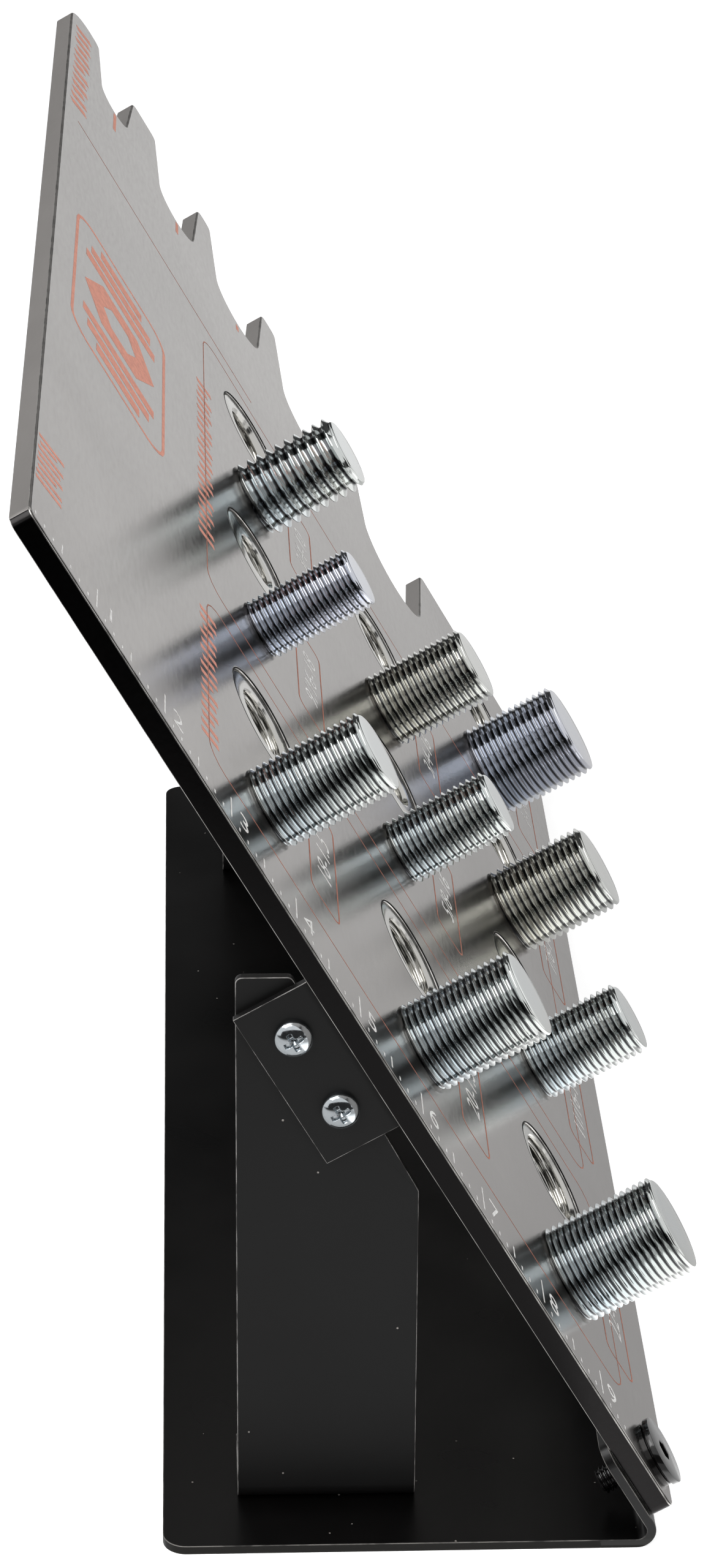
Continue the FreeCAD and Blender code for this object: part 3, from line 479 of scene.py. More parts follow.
@dataclass(frozen=True)
class TurnedSteel:
    """Turned or rolled steel with rings about its axis, a faint drift between two tints, and painted shade
    in its thread roots.
    """

    name: str
    cool: Colour
    warm: Colour
    roughness: float
    marks: float = 0.05
    # Painted shade in the thread roots: its colour, and the span of the root share over which it comes in.
    grime: Colour = shade(58, 58, 60)
    grime_span: Tuple[float, float] = (0.75, 1.0)
    smoother: float = 0.04
    rougher: float = 0.06
    relief_deep: float = 0.1 * MM

    def material(self, shaders: Shaders) -> bpy.types.Material:
        """The material, which reads each piece's own turning attribute, and darkens its thread roots by the
        root attribute as painted shade.

        Args:
            shaders: the shared effects.

        Returns:
            The material.
        """
        made, wiring, shader = new_material(self.name, Metallic=1.0)
        turning = wiring.node("ShaderNodeAttribute", {}, attribute_name="turning")
        marks = wiring.effect(shaders.turning, turning.outputs["Vector"])
        clean = wiring.blend(wiring.ramp(marks.outputs["Tint"], *MIDDLE_SPAN), self.cool, self.warm)
        # Painted shade: the colour darkens towards the thread roots, where the flanks shade each other.
        root = wiring.node("ShaderNodeAttribute", {}, attribute_name="root").outputs["Fac"]
        root_shaded = wiring.blend(wiring.ramp(root, *self.grime_span), clean, self.grime)
        wiring.feed(root_shaded, shader, "Base Color")
        rough = wiring.uneven(marks.outputs["Rings"], self.roughness, self.smoother, self.rougher)
        wiring.feed(rough, shader, "Roughness")
        bent = wiring.relief(marks.outputs["Rings"], self.marks, self.relief_deep)
        wiring.feed(bent, shader, "Normal")
        return made


@dataclass(frozen=True)
class PlainSteel:
    """Plated steel of the small fasteners, on object coordinates."""

    name: str
    colour: Colour
    worn: Colour
    roughness: float
    change: float = 0.05
    grain_scale: float = 1800.0
    mottle_scale: float = 260.0

    def material(self, shaders: Shaders) -> bpy.types.Material:
        """The material with soft mottling and a fine grain.

        Args:
            shaders: the shared effects.

        Returns:
            The material.
        """
        made, wiring, shader = new_material(self.name, Metallic=1.0)
        grain = wiring.effect(
            shaders.grain, wiring.object_place(), Scale=self.grain_scale, Stretch=1.0,
            Mottle_Scale=self.mottle_scale,
        )
        tone = wiring.ramp(grain.outputs["Mottle"], *MIDDLE_SPAN)
        wiring.feed(wiring.blend(tone, self.colour, self.worn), shader, "Base Color")
        rough = wiring.uneven(grain.outputs["Grain"], self.roughness, self.change, self.change)
        wiring.feed(rough, shader, "Roughness")
        return made


@dataclass(frozen=True)
class WornEdge:
    """An edge where the finish has rubbed thin, with a painted highlight along it: two tones in patches, on
    object coordinates.
    """

    name: str
    # The pale tone: partly rubbed wear, partly a painted highlight along the edge.
    bare: Colour
    covered: Colour
    metallic: float
    roughness: float
    patch: float = 220.0
    patch_span: Tuple[float, float] = (0.38, 0.58)

    def material(self) -> bpy.types.Material:
        """The material with its patches.

        Returns:
            The material.
        """
        made, wiring, shader = new_material(self.name, Metallic=self.metallic, Roughness=self.roughness)
        patches = wiring.node(
            "ShaderNodeTexNoise", {"Vector": wiring.object_place(), "Scale": self.patch, "Detail": 3.0}
        )
        # Patches of the pale tone: rubbed wear and a painted highlight along the edge.
        worn = wiring.ramp(patches.outputs["Fac"], *self.patch_span)
        wiring.feed(wiring.blend(worn, self.covered, self.bare), shader, "Base Color")
        return made


@dataclass(frozen=True)
class BlackOxide:
    """The thin smooth black of the socket screws: dark face on, and bright where it is seen at a slant."""

    colour: Colour = shade(13, 13, 14)
    worn: Colour = shade(24, 23, 22)
    roughness: float = 0.15
    smoother: float = 0.04
    rougher: float = 0.05
    shine: float = 0.3
    gloss: float = 0.6
    gloss_roughness: float = 0.08
    grain_scale: float = 1800.0

    def material(self, shaders: Shaders) -> bpy.types.Material:
        """The material with a fine grain in its gloss.

        Args:
            shaders: the shared effects.

        Returns:
            The material.
        """
        made, wiring, shader = new_material(
            "black_oxide", Metallic=0.0, Specular_IOR_Level=self.shine, Coat_Weight=self.gloss,
            Coat_Roughness=self.gloss_roughness,
        )
        grain = wiring.effect(shaders.grain, wiring.object_place(), Scale=self.grain_scale, Stretch=1.0)
        tone = wiring.ramp(grain.outputs["Mottle"], *MIDDLE_SPAN)
        wiring.feed(wiring.blend(tone, self.colour, self.worn), shader, "Base Color")
        rough = wiring.uneven(grain.outputs["Grain"], self.roughness, self.smoother, self.rougher)
        wiring.feed(rough, shader, "Roughness")
        return made


@dataclass(frozen=True)
class Ink:
    """Baked marking paint, thin enough for the steel to show through in places."""

    name: str
    colour: Colour
    thin: Colour
    grain: float = 700.0
    cover_span: Tuple[float, float] = (0.38, 0.6)
    thin_roughness: float = 0.7
    thick_roughness: float = 0.5
    shine: float = 0.12

    def material(self, tilt: float) -> bpy.types.Material:
        """The material with its patchy tone.

        Args:
            tilt: the plate's turn about Y.

        Returns:
            The material.
        """
        made, wiring, shader = new_material(self.name, Metallic=0.0, Specular_IOR_Level=self.shine)
        place = place_pattern(wiring, tilt)
        patches = wiring.node(
            "ShaderNodeTexNoise", {"Vector": place, "Scale": self.grain, "Detail": 3.0, "Roughness": 0.7}
        ).outputs["Fac"]
        cover = wiring.ramp(patches, *self.cover_span)
        wiring.feed(wiring.blend(cover, self.thin, self.colour), shader, "Base Color")
        rough = wiring.ramp(patches, *WIDE_SPAN, self.thin_roughness, self.thick_roughness)
        wiring.feed(rough, shader, "Roughness")
        return made


class Plating(Enum):
    """The tints of the studs' zinc."""

    WHITE = "white"
    VIOLET = "violet"
    STRAW = "straw"


@dataclass
class Finishes:
    """Every material of the object, made once."""

    shaders: Shaders
    frame: "PlateFrame"
    # Height under which the base's near cut edge is painted lighter, as painted light.
    base_edge_high: float = 2.2 * MM

    def __post_init__(self) -> None:
        """Makes the materials."""
        self.plate = PlateSteel().material(self.shaders, self.frame)
        self.black = BlackSheet(thin_below=self.base_edge_high).material(self.shaders)
        upright = BlackSheet(roughness=0.5, shine=0.46, name="black_coat_upright")
        self.black_upright = upright.material(self.shaders)
        tints = {
            Plating.WHITE: (shade(210, 218, 222), shade(217, 218, 213)),
            Plating.VIOLET: (shade(204, 211, 222), shade(212, 212, 219)),
            Plating.STRAW: (shade(209, 209, 202), shade(211, 213, 211)),
        }
        self.zinc = {}
        for plating, (cool, warm) in tints.items():
            zinc = TurnedSteel(f"zinc_{plating.value}", cool, warm, roughness=0.1, marks=0.02)
            self.zinc[plating] = zinc.material(self.shaders)
        turned = TurnedSteel(
            "turned_insert", shade(202, 201, 198), shade(190, 188, 182), roughness=0.13, marks=0.04
        )
        self.insert = turned.material(self.shaders)
        small = PlainSteel("plated_fastener", shade(206, 212, 216), shade(190, 196, 200), roughness=0.12)
        self.fastener = small.material(self.shaders)
        self.screw = BlackOxide().material(self.shaders)
        # The eased corners are paler than their faces: partly rubbed wear, partly a painted highlight along
        # each edge.
        edges = (
            WornEdge("coat_edge", shade(122, 120, 118), shade(46, 44, 43), metallic=0.0, roughness=0.4),
            WornEdge("base_coat_edge", shade(92, 90, 87), shade(36, 35, 34), metallic=0.0, roughness=0.4),
            WornEdge("steel_edge", shade(206, 204, 200), shade(146, 144, 141), metallic=1.0, roughness=0.3),
        )
        self.sheet_edge, self.base_edge, self.plate_edge = (edge.material() for edge in edges)
        inks = (
            Ink("white_marking", shade(236, 236, 234), shade(206, 204, 202)),
            Ink("coral_marking", shade(224, 154, 134), shade(208, 146, 130)),
            # Painted shadow in the gap round each insert.
            Ink("seam_shade", shade(16, 15, 15), shade(34, 33, 32)),
            Ink("line_marking", shade(180, 114, 94), shade(152, 106, 92)),
        )
        self.white_ink, self.coral_ink, self.seam, self.line_ink = (
            ink.material(self.frame.tilt) for ink in inks
        )


# Meshes


def new_piece(name: str, points: Array, faces: Sequence[Sequence[int]], material: bpy.types.Material,
              smooth_below: Optional[float] = None) -> bpy.types.Object:
    """A piece of the object from points and faces, with doubles merged and faces outwards.

    Args:
        name: the piece's name.
        points: its vertices, one row each, in the row frame.
        faces: vertex numbers of each face.
        material: its finish.
        smooth_below: the angle in degrees under which edges are shaded smooth, or None for flat.

    Returns:
        The object, which rides on the body.
    """
    mesh = bpy.data.meshes.new(name)
    mesh.from_pydata(points.tolist(), [], faces if isinstance(faces, list) else faces.tolist())
    tidy_mesh(mesh)
    if smooth_below is not None:
        mesh.polygons.foreach_set("use_smooth", np.ones(len(mesh.polygons), dtype=bool))
        mesh.set_sharp_from_angle(angle=math.radians(smooth_below))
    mesh.materials.append(material)
    made = bpy.data.objects.new(name, mesh)
    bpy.context.scene.collection.objects.link(made)
    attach(made, BODY)
    return made


def tidy_mesh(mesh: bpy.types.Mesh) -> None:
    """Merges doubles, drops faces of no area and turns all faces outwards.

    Args:
        mesh: the mesh, which is changed in place.
    """
    work = bmesh.new()
    work.from_mesh(mesh)
    bmesh.ops.remove_doubles(work, verts=work.verts, dist=MERGE_DISTANCE)
    bmesh.ops.dissolve_degenerate(work, edges=work.edges, dist=MERGE_DISTANCE)
    bmesh.ops.recalc_face_normals(work, faces=work.faces)
    work.to_mesh(mesh)
    work.free()


def grid_faces(rows: int, columns: int, closed: bool) -> Array:
    """Four-sided faces of a grid whose points are stored row after row.

    Args:
        rows, columns: the grid's size in points.
        closed: whether the last column joins the first.

    Returns:
        One row of four point numbers for each face.
    """
    across = columns if closed else columns - 1
    row, column = np.meshgrid(np.arange(rows - 1), np.arange(across), indexing="ij")
    after = (column + 1) % columns
    corners = [row * columns + column, row * columns + after,
               (row + 1) * columns + after, (row + 1) * columns + column]
    return np.stack([corner.ravel() for corner in corners], axis=1)


@dataclass(frozen=True)
class PlateFrame:
    """The plate's axes and corner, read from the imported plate."""

    corner: Array
    along: Array
    up: Array
    out: Array

    @classmethod
    def from_frame(cls) -> "PlateFrame":
        """Reads the plate's normal from a threaded hole's axis, and its corner from its own vertices.

        Returns:
            The frame, with its corner at the top of the front face, at the ruler edge.
        """
        out = np.array(next(m["axis"] for m in frame["record"]["mounts"] if m["kind"] == "threaded_hole"))
        along = np.array([0.0, 1.0, 0.0])
        up = np.cross(out, along)
        spots = vertices(frame["nodes"]["gauge_plate"].data)
        corner = along * (spots @ along).min() + up * (spots @ up).max() + out * (spots @ out).max()
        return cls(corner, along, up, out)

    @property
    def tilt(self) -> float:
        """Angle between the plate's normal and the world's X axis, as a turn about Y."""
        return math.atan2(self.out[2], self.out[0])

    def place(self, points: Array) -> Array:
        """Points given as across, down and out, in the row frame."""
        return (self.corner + points[:, :1] * self.along - points[:, 1:2] * self.up
                + points[:, 2:3] * self.out)

    def local(self, points: Array) -> Array:
        """Points of the row frame as across, down and out."""
        moved = points - self.corner
        return np.stack([moved @ self.along, -(moved @ self.up), moved @ self.out], axis=1)

    def extent(self, node: str) -> Tuple[Array, Array]:
        """The least and the greatest across, down and out of a CAD node."""
        local = self.local(vertices(frame["nodes"][node].data))
        return local.min(axis=0), local.max(axis=0)


def vertices(mesh: bpy.types.Mesh) -> Array:
    """Every vertex of a mesh.

    Args:
        mesh: the mesh.

    Returns:
        One row of three coordinates for each vertex.
    """
    flat = np.empty(len(mesh.vertices) * 3)
    mesh.vertices.foreach_get("co", flat)
    return flat.reshape(-1, 3)


def full_turn(segments: int) -> Array:
    """Equal angles once round, the first at zero."""
    return 2 * math.pi * np.arange(segments) / segments


# Threads


@dataclass(frozen=True)
class ThreadForm:
    """A 60 degree thread, outside a stud or inside an insert.

    The radius at angle a and height z is the major radius less the depth times a share, and the share
    is read at the phase z / pitch - a / full turn: 0 on the crest, rising evenly down the flank to 1 at
    the root. Grid rows follow the helix, so every crest is a clean line.
    """

    major: float
    pitch: float
    inside: bool = False
    depth_share: float = 0.6
    crest_share: float = 0.125
    rounding: float = 0.03
    rounded_crest: float = 0.09
    rounded_root: float = 0.93
    flank_lean: float = math.radians(30)
    spare_turns: int = 2
    segments: int = 96

    @property
    def depth(self) -> float:
        """Depth from crest to root."""
        return self.depth_share * self.pitch

    @property
    def minor(self) -> float:
        """Radius at the root of an outside thread, or at the crest of an inside one."""
        return self.major - self.depth

    def stations(self) -> Tuple[Array, Array]:
        """Phases within one pitch and the depth share at each.

        Returns:
            The two arrays. Crest and root each have a rounded corner where the flanks begin.
        """
        flank = self.depth_share * math.tan(self.flank_lean)
        crest, soft = self.crest_share, self.rounding
        phases = [0.0, soft, crest - soft, crest, crest + flank - soft, crest + flank + soft,
                  1 - flank - soft, 1 - flank + soft]
        shares = [self.rounded_crest, 0.0, 0.0, self.rounded_crest,
                  self.rounded_root, 1.0, 1.0, self.rounded_root]
        return np.array(phases), np.array(shares)

    def radius_at(self, phase: Array) -> Array:
        """Radius for any phase, by straight lines between the stations.

        Args:
            phase: height over pitch less the angle's share of a turn.

        Returns:
            The radius at each phase.
        """
        phases, shares = self.stations()
        around = np.append(phases, 1.0)
        share = np.interp(np.mod(phase, 1.0), around, np.append(shares, shares[0]))
        return self.major - self.depth * share

    def surface(self, bottom: float, top: float, bottom_bevel: float, top_bevel: float
                ) -> Tuple[Array, Array]:
        """The threaded wall between two heights, cut off flat at both, about the Z axis.

        Args:
            bottom, top: heights of the two ends.
            bottom_bevel, top_bevel: how far the thread is turned away at each end, at 45 degrees.

        Returns:
            Points and faces.
        """
        phases, shares = self.stations()
        count = len(phases)
        first_turn = math.floor(bottom / self.pitch) - self.spare_turns
        turns = np.arange(first_turn, math.ceil(top / self.pitch) + self.spare_turns)
        rise = (turns[:, None] + phases[None, :]).ravel()
        share = np.tile(shares, len(turns))
        angle = full_turn(self.segments)
        height = self.pitch * (rise[:, None] + angle[None, :] / (2 * math.pi))
        radius = np.repeat((self.major - self.depth * share)[:, None], self.segments, axis=1)
        for level, beyond in ((bottom, height < bottom), (top, height > top)):
            section = self.radius_at(level / self.pitch - angle / (2 * math.pi))
            radius = np.where(beyond, section[None, :], radius)
        height = np.clip(height, bottom, top)
        radius = self.turned_away(radius, height, bottom, top, bottom_bevel, top_bevel)
        points = np.stack([radius * np.cos(angle), radius * np.sin(angle), height], axis=2).reshape(-1, 3)
        rows = len(rise)
        inner = grid_faces(rows, self.segments, closed=False)
        first = np.arange(rows - 1 - count)
        last = self.segments - 1
        seam = np.stack([first * self.segments + last, (first + count) * self.segments,
                         (first + count + 1) * self.segments, (first + 1) * self.segments + last], axis=1)
        return points, np.concatenate([inner, seam])

    def turned_away(self, radius: Array, height: Array, bottom: float, top: float, bottom_bevel: float,
                    top_bevel: float) -> Array:
        """The radius held inside, or outside, the 45 degree bevels at both ends.

        Args:
            radius, height: the wall's points.
            bottom, top: heights of the two ends.
            bottom_bevel, top_bevel: how far the thread is turned away at each end.

        Returns:
            The radius after turning.
        """
        away = np.maximum(bottom_bevel - (height - bottom), top_bevel - (top - height))
        if self.inside:
            return np.maximum(radius, self.minor + np.maximum(away, 0))
        return np.minimum(radius, self.major - np.maximum(away, 0))

    def end_ring(self, level: float, bevel: float) -> Array:
        """The section's radii at an end.

        Args:
            level: the end's height.
            bevel: how far the thread is turned away there.

        Returns:
            One radius for each segment.
        """
        section = self.radius_at(level / self.pitch - full_turn(self.segments) / (2 * math.pi))
        if self.inside:
            return np.maximum(section, self.minor + bevel)
        return np.minimum(section, self.major - bevel)


def turned_rings(rings: Sequence[Tuple[Array, float]], segments: int) -> Tuple[Array, Array]:
    """A surface through rings about the Z axis.

    Args:
        rings: radius and height of each ring; a radius is a number or one number for each segment.
        segments: points round a ring.

    Returns:
        Points, where ring i and angle a give (r cos a, r sin a, z), and faces.
    """
    angle = full_turn(segments)
    radius = np.stack([np.broadcast_to(r, angle.shape) for r, _ in rings])
    height = np.repeat(np.array([z for _, z in rings])[:, None], segments, axis=1)
    points = np.stack([radius * np.cos(angle), radius * np.sin(angle), height], axis=2).reshape(-1, 3)
    return points, grid_faces(len(rings), segments, closed=True)


def join_parts(parts: Sequence[Tuple[Array, Array]]) -> Tuple[Array, Array]:
    """Several lots of points and faces as one lot.

    Args:
        parts: the points and faces of each lot.

    Returns:
        All points, and all faces with their point numbers moved on.
    """
    starts = np.cumsum([0] + [len(points) for points, _ in parts[:-1]])
    points = np.concatenate([points for points, _ in parts])
    faces = np.concatenate([faces + start for (_, faces), start in zip(parts, starts)])
    return points, faces


def store_turning(piece: bpy.types.Object, plate: PlateFrame, centre: Array,
                  soil: Callable[[Array, Array], Array]) -> None:
    """Keeps what a turned finish reads: radius, height and angle as turning, and painted root shade as
    root.

    The angle is kept as DRIFT times the radius times its sine, so that tints drift round the piece.

    Args:
        piece: the turned piece.
        plate: the plate's frame.
        centre: the piece's centre in the plate's frame.
        soil: gives the share of painted shade in the thread roots from radii and heights.
    """
    mesh = piece.data
    local = plate.local(vertices(mesh)) - centre
    radius = np.hypot(local[:, 0], local[:, 1])
    angle = np.arctan2(local[:, 1], local[:, 0])
    values = np.stack([radius, local[:, 2], DRIFT * radius * np.sin(angle)], axis=1)
    attribute = mesh.attributes.new("turning", "FLOAT_VECTOR", "POINT")
    attribute.data.foreach_set("vector", values.ravel())
    root = mesh.attributes.new("root", "FLOAT", "POINT")
    root.data.foreach_set("value", np.clip(soil(radius, local[:, 2]), 0.0, 1.0))


@dataclass(frozen=True)
class Gauge:
    """One thread size: a stud and the insert beside it."""

    name: str
    label: str
    pitch: float
    plating: Plating = Plating.WHITE
    tip_bevel: float = 0.28
    rim: float = 0.55 * MM
    rim_steps: int = 5
    tip_ring: float = 0.5
    spigot: float = 5.0 * MM
    insert_edge: float = 0.7 * MM
    edge_ease: float = 0.3
    back_bevel: float = 0.3

    def stud(self, plate: PlateFrame, finishes: Finishes) -> bpy.types.Object:
        """The threaded stud on its spigot, in place of the plain solid.

        Its rim is a quarter circle of radius rim: in by rim (1 - cos a) and up by rim sin a.

        Args:
            plate: the plate's frame.
            finishes: the materials.

        Returns:
            The piece.
        """
        low, high = plate.extent(f"stud_{self.name}")
        centre = np.array([(low[0] + high[0]) / 2, (low[1] + high[1]) / 2, 0.0])
        form = ThreadForm(float(high[0] - low[0]) / 2, self.pitch)
        bevel = self.tip_bevel * self.pitch
        back, top = float(low[2]), float(high[2])
        level = top - self.rim
        wall = form.surface(0.0, level, 0.0, bevel)
        edge = form.end_ring(level, bevel)
        turn = np.linspace(0, math.pi / 2, self.rim_steps)
        rim = [(edge - self.rim * (1 - math.cos(a)), level + self.rim * math.sin(a)) for a in turn]
        tip = turned_rings(rim + [(self.tip_ring * form.major, top), (0.0, top)], form.segments)
        foot = turned_rings(
            [(form.end_ring(0.0, 0.0), 0.0), (self.spigot, 0.0), (self.spigot, back), (0.0, back)],
            form.segments,
        )

        def soil(radius: Array, height: Array) -> Array:
            """Painted shade grows from crest to root and leaves the tip unshaded."""
            return np.where(height < level, (form.major - radius) / form.depth, 0.0)

        points, faces = join_parts([wall, tip, foot])
        placed = plate.place(points * FLIP_SECOND + centre)
        name, finish = f"stud_{self.name}_threaded", finishes.zinc[self.plating]
        piece = new_piece(name, placed, faces, finish, THREAD_SMOOTH)
        store_turning(piece, plate, centre, soil)
        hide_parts(f"stud_{self.name}")
        return piece

    def insert(self, plate: PlateFrame, finishes: Finishes) -> bpy.types.Object:
        """The threaded insert, in place of the plain ring.

        Args:
            plate: the plate's frame.
            finishes: the materials.

        Returns:
            The piece.
        """
        low, high = plate.extent(f"insert_{self.name}")
        centre = np.array([(low[0] + high[0]) / 2, (low[1] + high[1]) / 2, 0.0])
        bore = next(m for m in frame["record"]["mounts"] if m["name"] == f"insert_{self.name}_thread")
        form = ThreadForm(bore["dims"]["r_mm"] * MM, self.pitch, inside=True)
        outer = float(high[0] - low[0]) / 2
        top, bottom = float(high[2]), float(low[2])
        bevel, edge = form.depth, self.insert_edge
        eased, behind = self.edge_ease * edge, self.back_bevel * bevel
        wall = form.surface(bottom, top, behind, bevel)
        ring = turned_rings(
            [(form.end_ring(top, bevel), top), (outer - edge, top), (outer - eased, top - eased),
             (outer, top - edge), (outer, bottom), (form.end_ring(bottom, behind), bottom)],
            form.segments,
        )
        points, faces = join_parts([wall, ring])
        placed = plate.place(points * FLIP_SECOND + centre)
        name = f"insert_{self.name}_threaded"
        piece = new_piece(name, placed, faces, finishes.insert, THREAD_SMOOTH)
        store_turning(piece, plate, centre, lambda radius, height: np.zeros(len(radius)))
        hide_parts(f"insert_{self.name}")
        return piece

    def row_and_column(self, plate: PlateFrame) -> Tuple[float, float, float]:
        """Where the pair stands.

        Args:
            plate: the plate's frame.

        Returns:
            Down and across of the stud, and across of the insert.
        """
        middle = sum(plate.extent(f"stud_{self.name}")) / 2
        beside = sum(plate.extent(f"insert_{self.name}")) / 2
        return float(middle[1]), float(middle[0]), float(beside[0])


GAUGES = [
    Gauge("m18", "18-1.5", 1.5 * MM),
    Gauge("m20", "20-1.5", 1.5 * MM),
    Gauge("m22", "22-1.5", 1.5 * MM),
    Gauge("inch_9_16", "9/16-18", INCH / 18, Plating.VIOLET),
    Gauge("inch_5_8", "5/8-16", INCH / 16),
    Gauge("inch_11_16", "11/16-16", INCH / 16),
    Gauge("inch_3_4_coarse", "3/4-10", INCH / 10),
    Gauge("inch_3_4_fine", "3/4-16", INCH / 16, Plating.STRAW),
    Gauge("inch_7_8", "7/8-14", INCH / 14, Plating.STRAW),
    Gauge("inch_1", "1-14", INCH / 14, Plating.VIOLET),
]


# The plate and the stand


# Faces that turn by less than the first angle become one face, and corners past the second are eased.
FLAT_WITHIN = math.radians(0.5)
EASED_ABOVE = math.radians(32)
EASE_SEGMENTS = 2
LEVEL_WEIGHT = 100


def eased_copy(node: str, material: bpy.types.Material, edge: bpy.types.Material,
               width: float) -> bpy.types.Object:
    """A copy of a CAD piece with its corners eased, in place of the sharp one.

    Args:
        node: the CAD node.
        material: its finish.
        edge: the finish of the eased corners.
        width: how far each corner is eased.

    Returns:
        The new piece.
    """
    mesh = frame["nodes"][node].data.copy()
    mesh.name = node + "_eased"
    if mesh.has_custom_normals:
        mesh.normals_split_custom_set([(0.0, 0.0, 0.0)] * len(mesh.loops))
    work = bmesh.new()
    work.from_mesh(mesh)
    bmesh.ops.remove_doubles(work, verts=work.verts, dist=MERGE_DISTANCE)
    bmesh.ops.dissolve_limit(
        work, angle_limit=FLAT_WITHIN, verts=work.verts, edges=work.edges, delimit={"NORMAL"}
    )
    work.to_mesh(mesh)
    work.free()
    mesh.polygons.foreach_set("use_smooth", np.ones(len(mesh.polygons), dtype=bool))
    mesh.materials.clear()
    mesh.materials.append(material)
    mesh.materials.append(edge)
    made = bpy.data.objects.new(node + "_eased", mesh)
    bpy.context.scene.collection.objects.link(made)
    ease = made.modifiers.new("ease", "BEVEL")
    ease.width = width
    ease.segments = EASE_SEGMENTS
    ease.limit_method = "ANGLE"
    ease.angle_limit = EASED_ABOVE
    ease.use_clamp_overlap = False
    ease.material = 1
    level = made.modifiers.new("level", "WEIGHTED_NORMAL")
    level.weight = LEVEL_WEIGHT
    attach(made, BODY)
    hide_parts(node)
    return made


@dataclass
class GaugePlate:
    """The steel plate with its slots and seats."""

    ease: float = 0.15 * MM

    def build(self, finishes: Finishes) -> List[bpy.types.Object]:
        """The plate with its corners eased."""
        return [eased_copy("gauge_plate", finishes.plate, finishes.plate_edge, self.ease)]


# Fasteners


def clusters(points: Array, cuts: Sequence[Tuple[Array, float]]) -> List[Array]:
    """Splits the points of a group of solids wherever an axis has a gap between them.

    Args:
        points: the vertices of all the solids.
        cuts: directions to look along, each with the least empty stretch that parts two solids.

    Returns:
        One array of points for each solid.
    """
    labels = np.zeros(len(points), dtype=int)
    for axis, gap in cuts:
        along = points @ axis
        order = np.argsort(along)
        steps = np.concatenate([[0], np.cumsum(np.diff(along[order]) > gap)])
        part = np.empty(len(points), dtype=int)
        part[order] = steps
        labels = labels * (steps.max() + 1) + part
    return [points[labels == label] for label in np.unique(labels)]


def hexagon_radius(flats: float, segments: int) -> Array:
    """Radius of a hexagon at each segment's angle: half the flats over the cosine to its flat."""
    return flats / 2 / np.cos(np.mod(full_turn(segments), math.pi / 3) - math.pi / 6)


@dataclass(frozen=True)
class PanScrew:
    """A pan-head screw with a cross recess, its seat at zero and its head towards +Z.

    The head's height at radius r is its side plus the rest of it times the square root of 1 - (r / R)
    squared. The recess takes off a depth that grows with the distance inside a cross, and a cone at its
    middle takes off more.
    """

    head: float = 4.0 * MM
    high: float = 2.6 * MM
    side: float = 0.6 * MM
    shank: float = 2.0 * MM
    pitch: float = 0.7 * MM
    arm: float = 2.1 * MM
    arm_half: float = 0.6 * MM
    wall: float = 3.2
    recess: float = 0.75 * MM
    pit: float = 0.95 * MM
    pit_deep: float = 1.0 * MM
    runout: float = 0.3 * MM
    tip_bevel: float = 0.5
    segments: int = 144
    shank_segments: int = 48
    rings: int = 56

    def mesh(self, length: float) -> Tuple[Array, Array]:
        """One screw.

        Args:
            length: of its shank.

        Returns:
            Points and faces.
        """
        form = ThreadForm(self.shank, self.pitch, segments=self.shank_segments)
        start, bevel = -self.runout, self.tip_bevel * form.depth
        shank = form.surface(-length, start, bevel, 0.0)
        seat = turned_rings(
            [(form.end_ring(start, 0.0), start), (self.shank, 0.0), (self.head, 0.0)], form.segments
        )
        tip = turned_rings([(form.end_ring(-length, bevel), -length), (0.0, -length)], form.segments)
        under = turned_rings([(self.head, 0.0), (self.head, self.side)], form.segments)
        radius = self.head * np.sin(np.linspace(0, 1, self.rings) * math.pi / 2)
        angle = full_turn(self.segments)
        across, up = np.outer(radius, np.cos(angle)), np.outer(radius, np.sin(angle))
        dome = np.sqrt(np.clip(1 - (radius / self.head) ** 2, 0, 1))
        height = self.side + (self.high - self.side) * np.repeat(dome[:, None], self.segments, axis=1)
        width, reach = self.arm_half, self.arm
        one = np.minimum(width - np.abs(up), reach - np.abs(across))
        two = np.minimum(width - np.abs(across), reach - np.abs(up))
        height = height - np.clip(self.wall * np.maximum(one, two), 0, self.recess)
        height = height - self.pit_deep * np.clip(1 - np.hypot(across, up) / self.pit, 0, 1)
        points = np.stack([across, up, height], axis=2).reshape(-1, 3)
        top = (points, grid_faces(self.rings, self.segments, closed=True))
        return join_parts([shank, seat, tip, under, top])


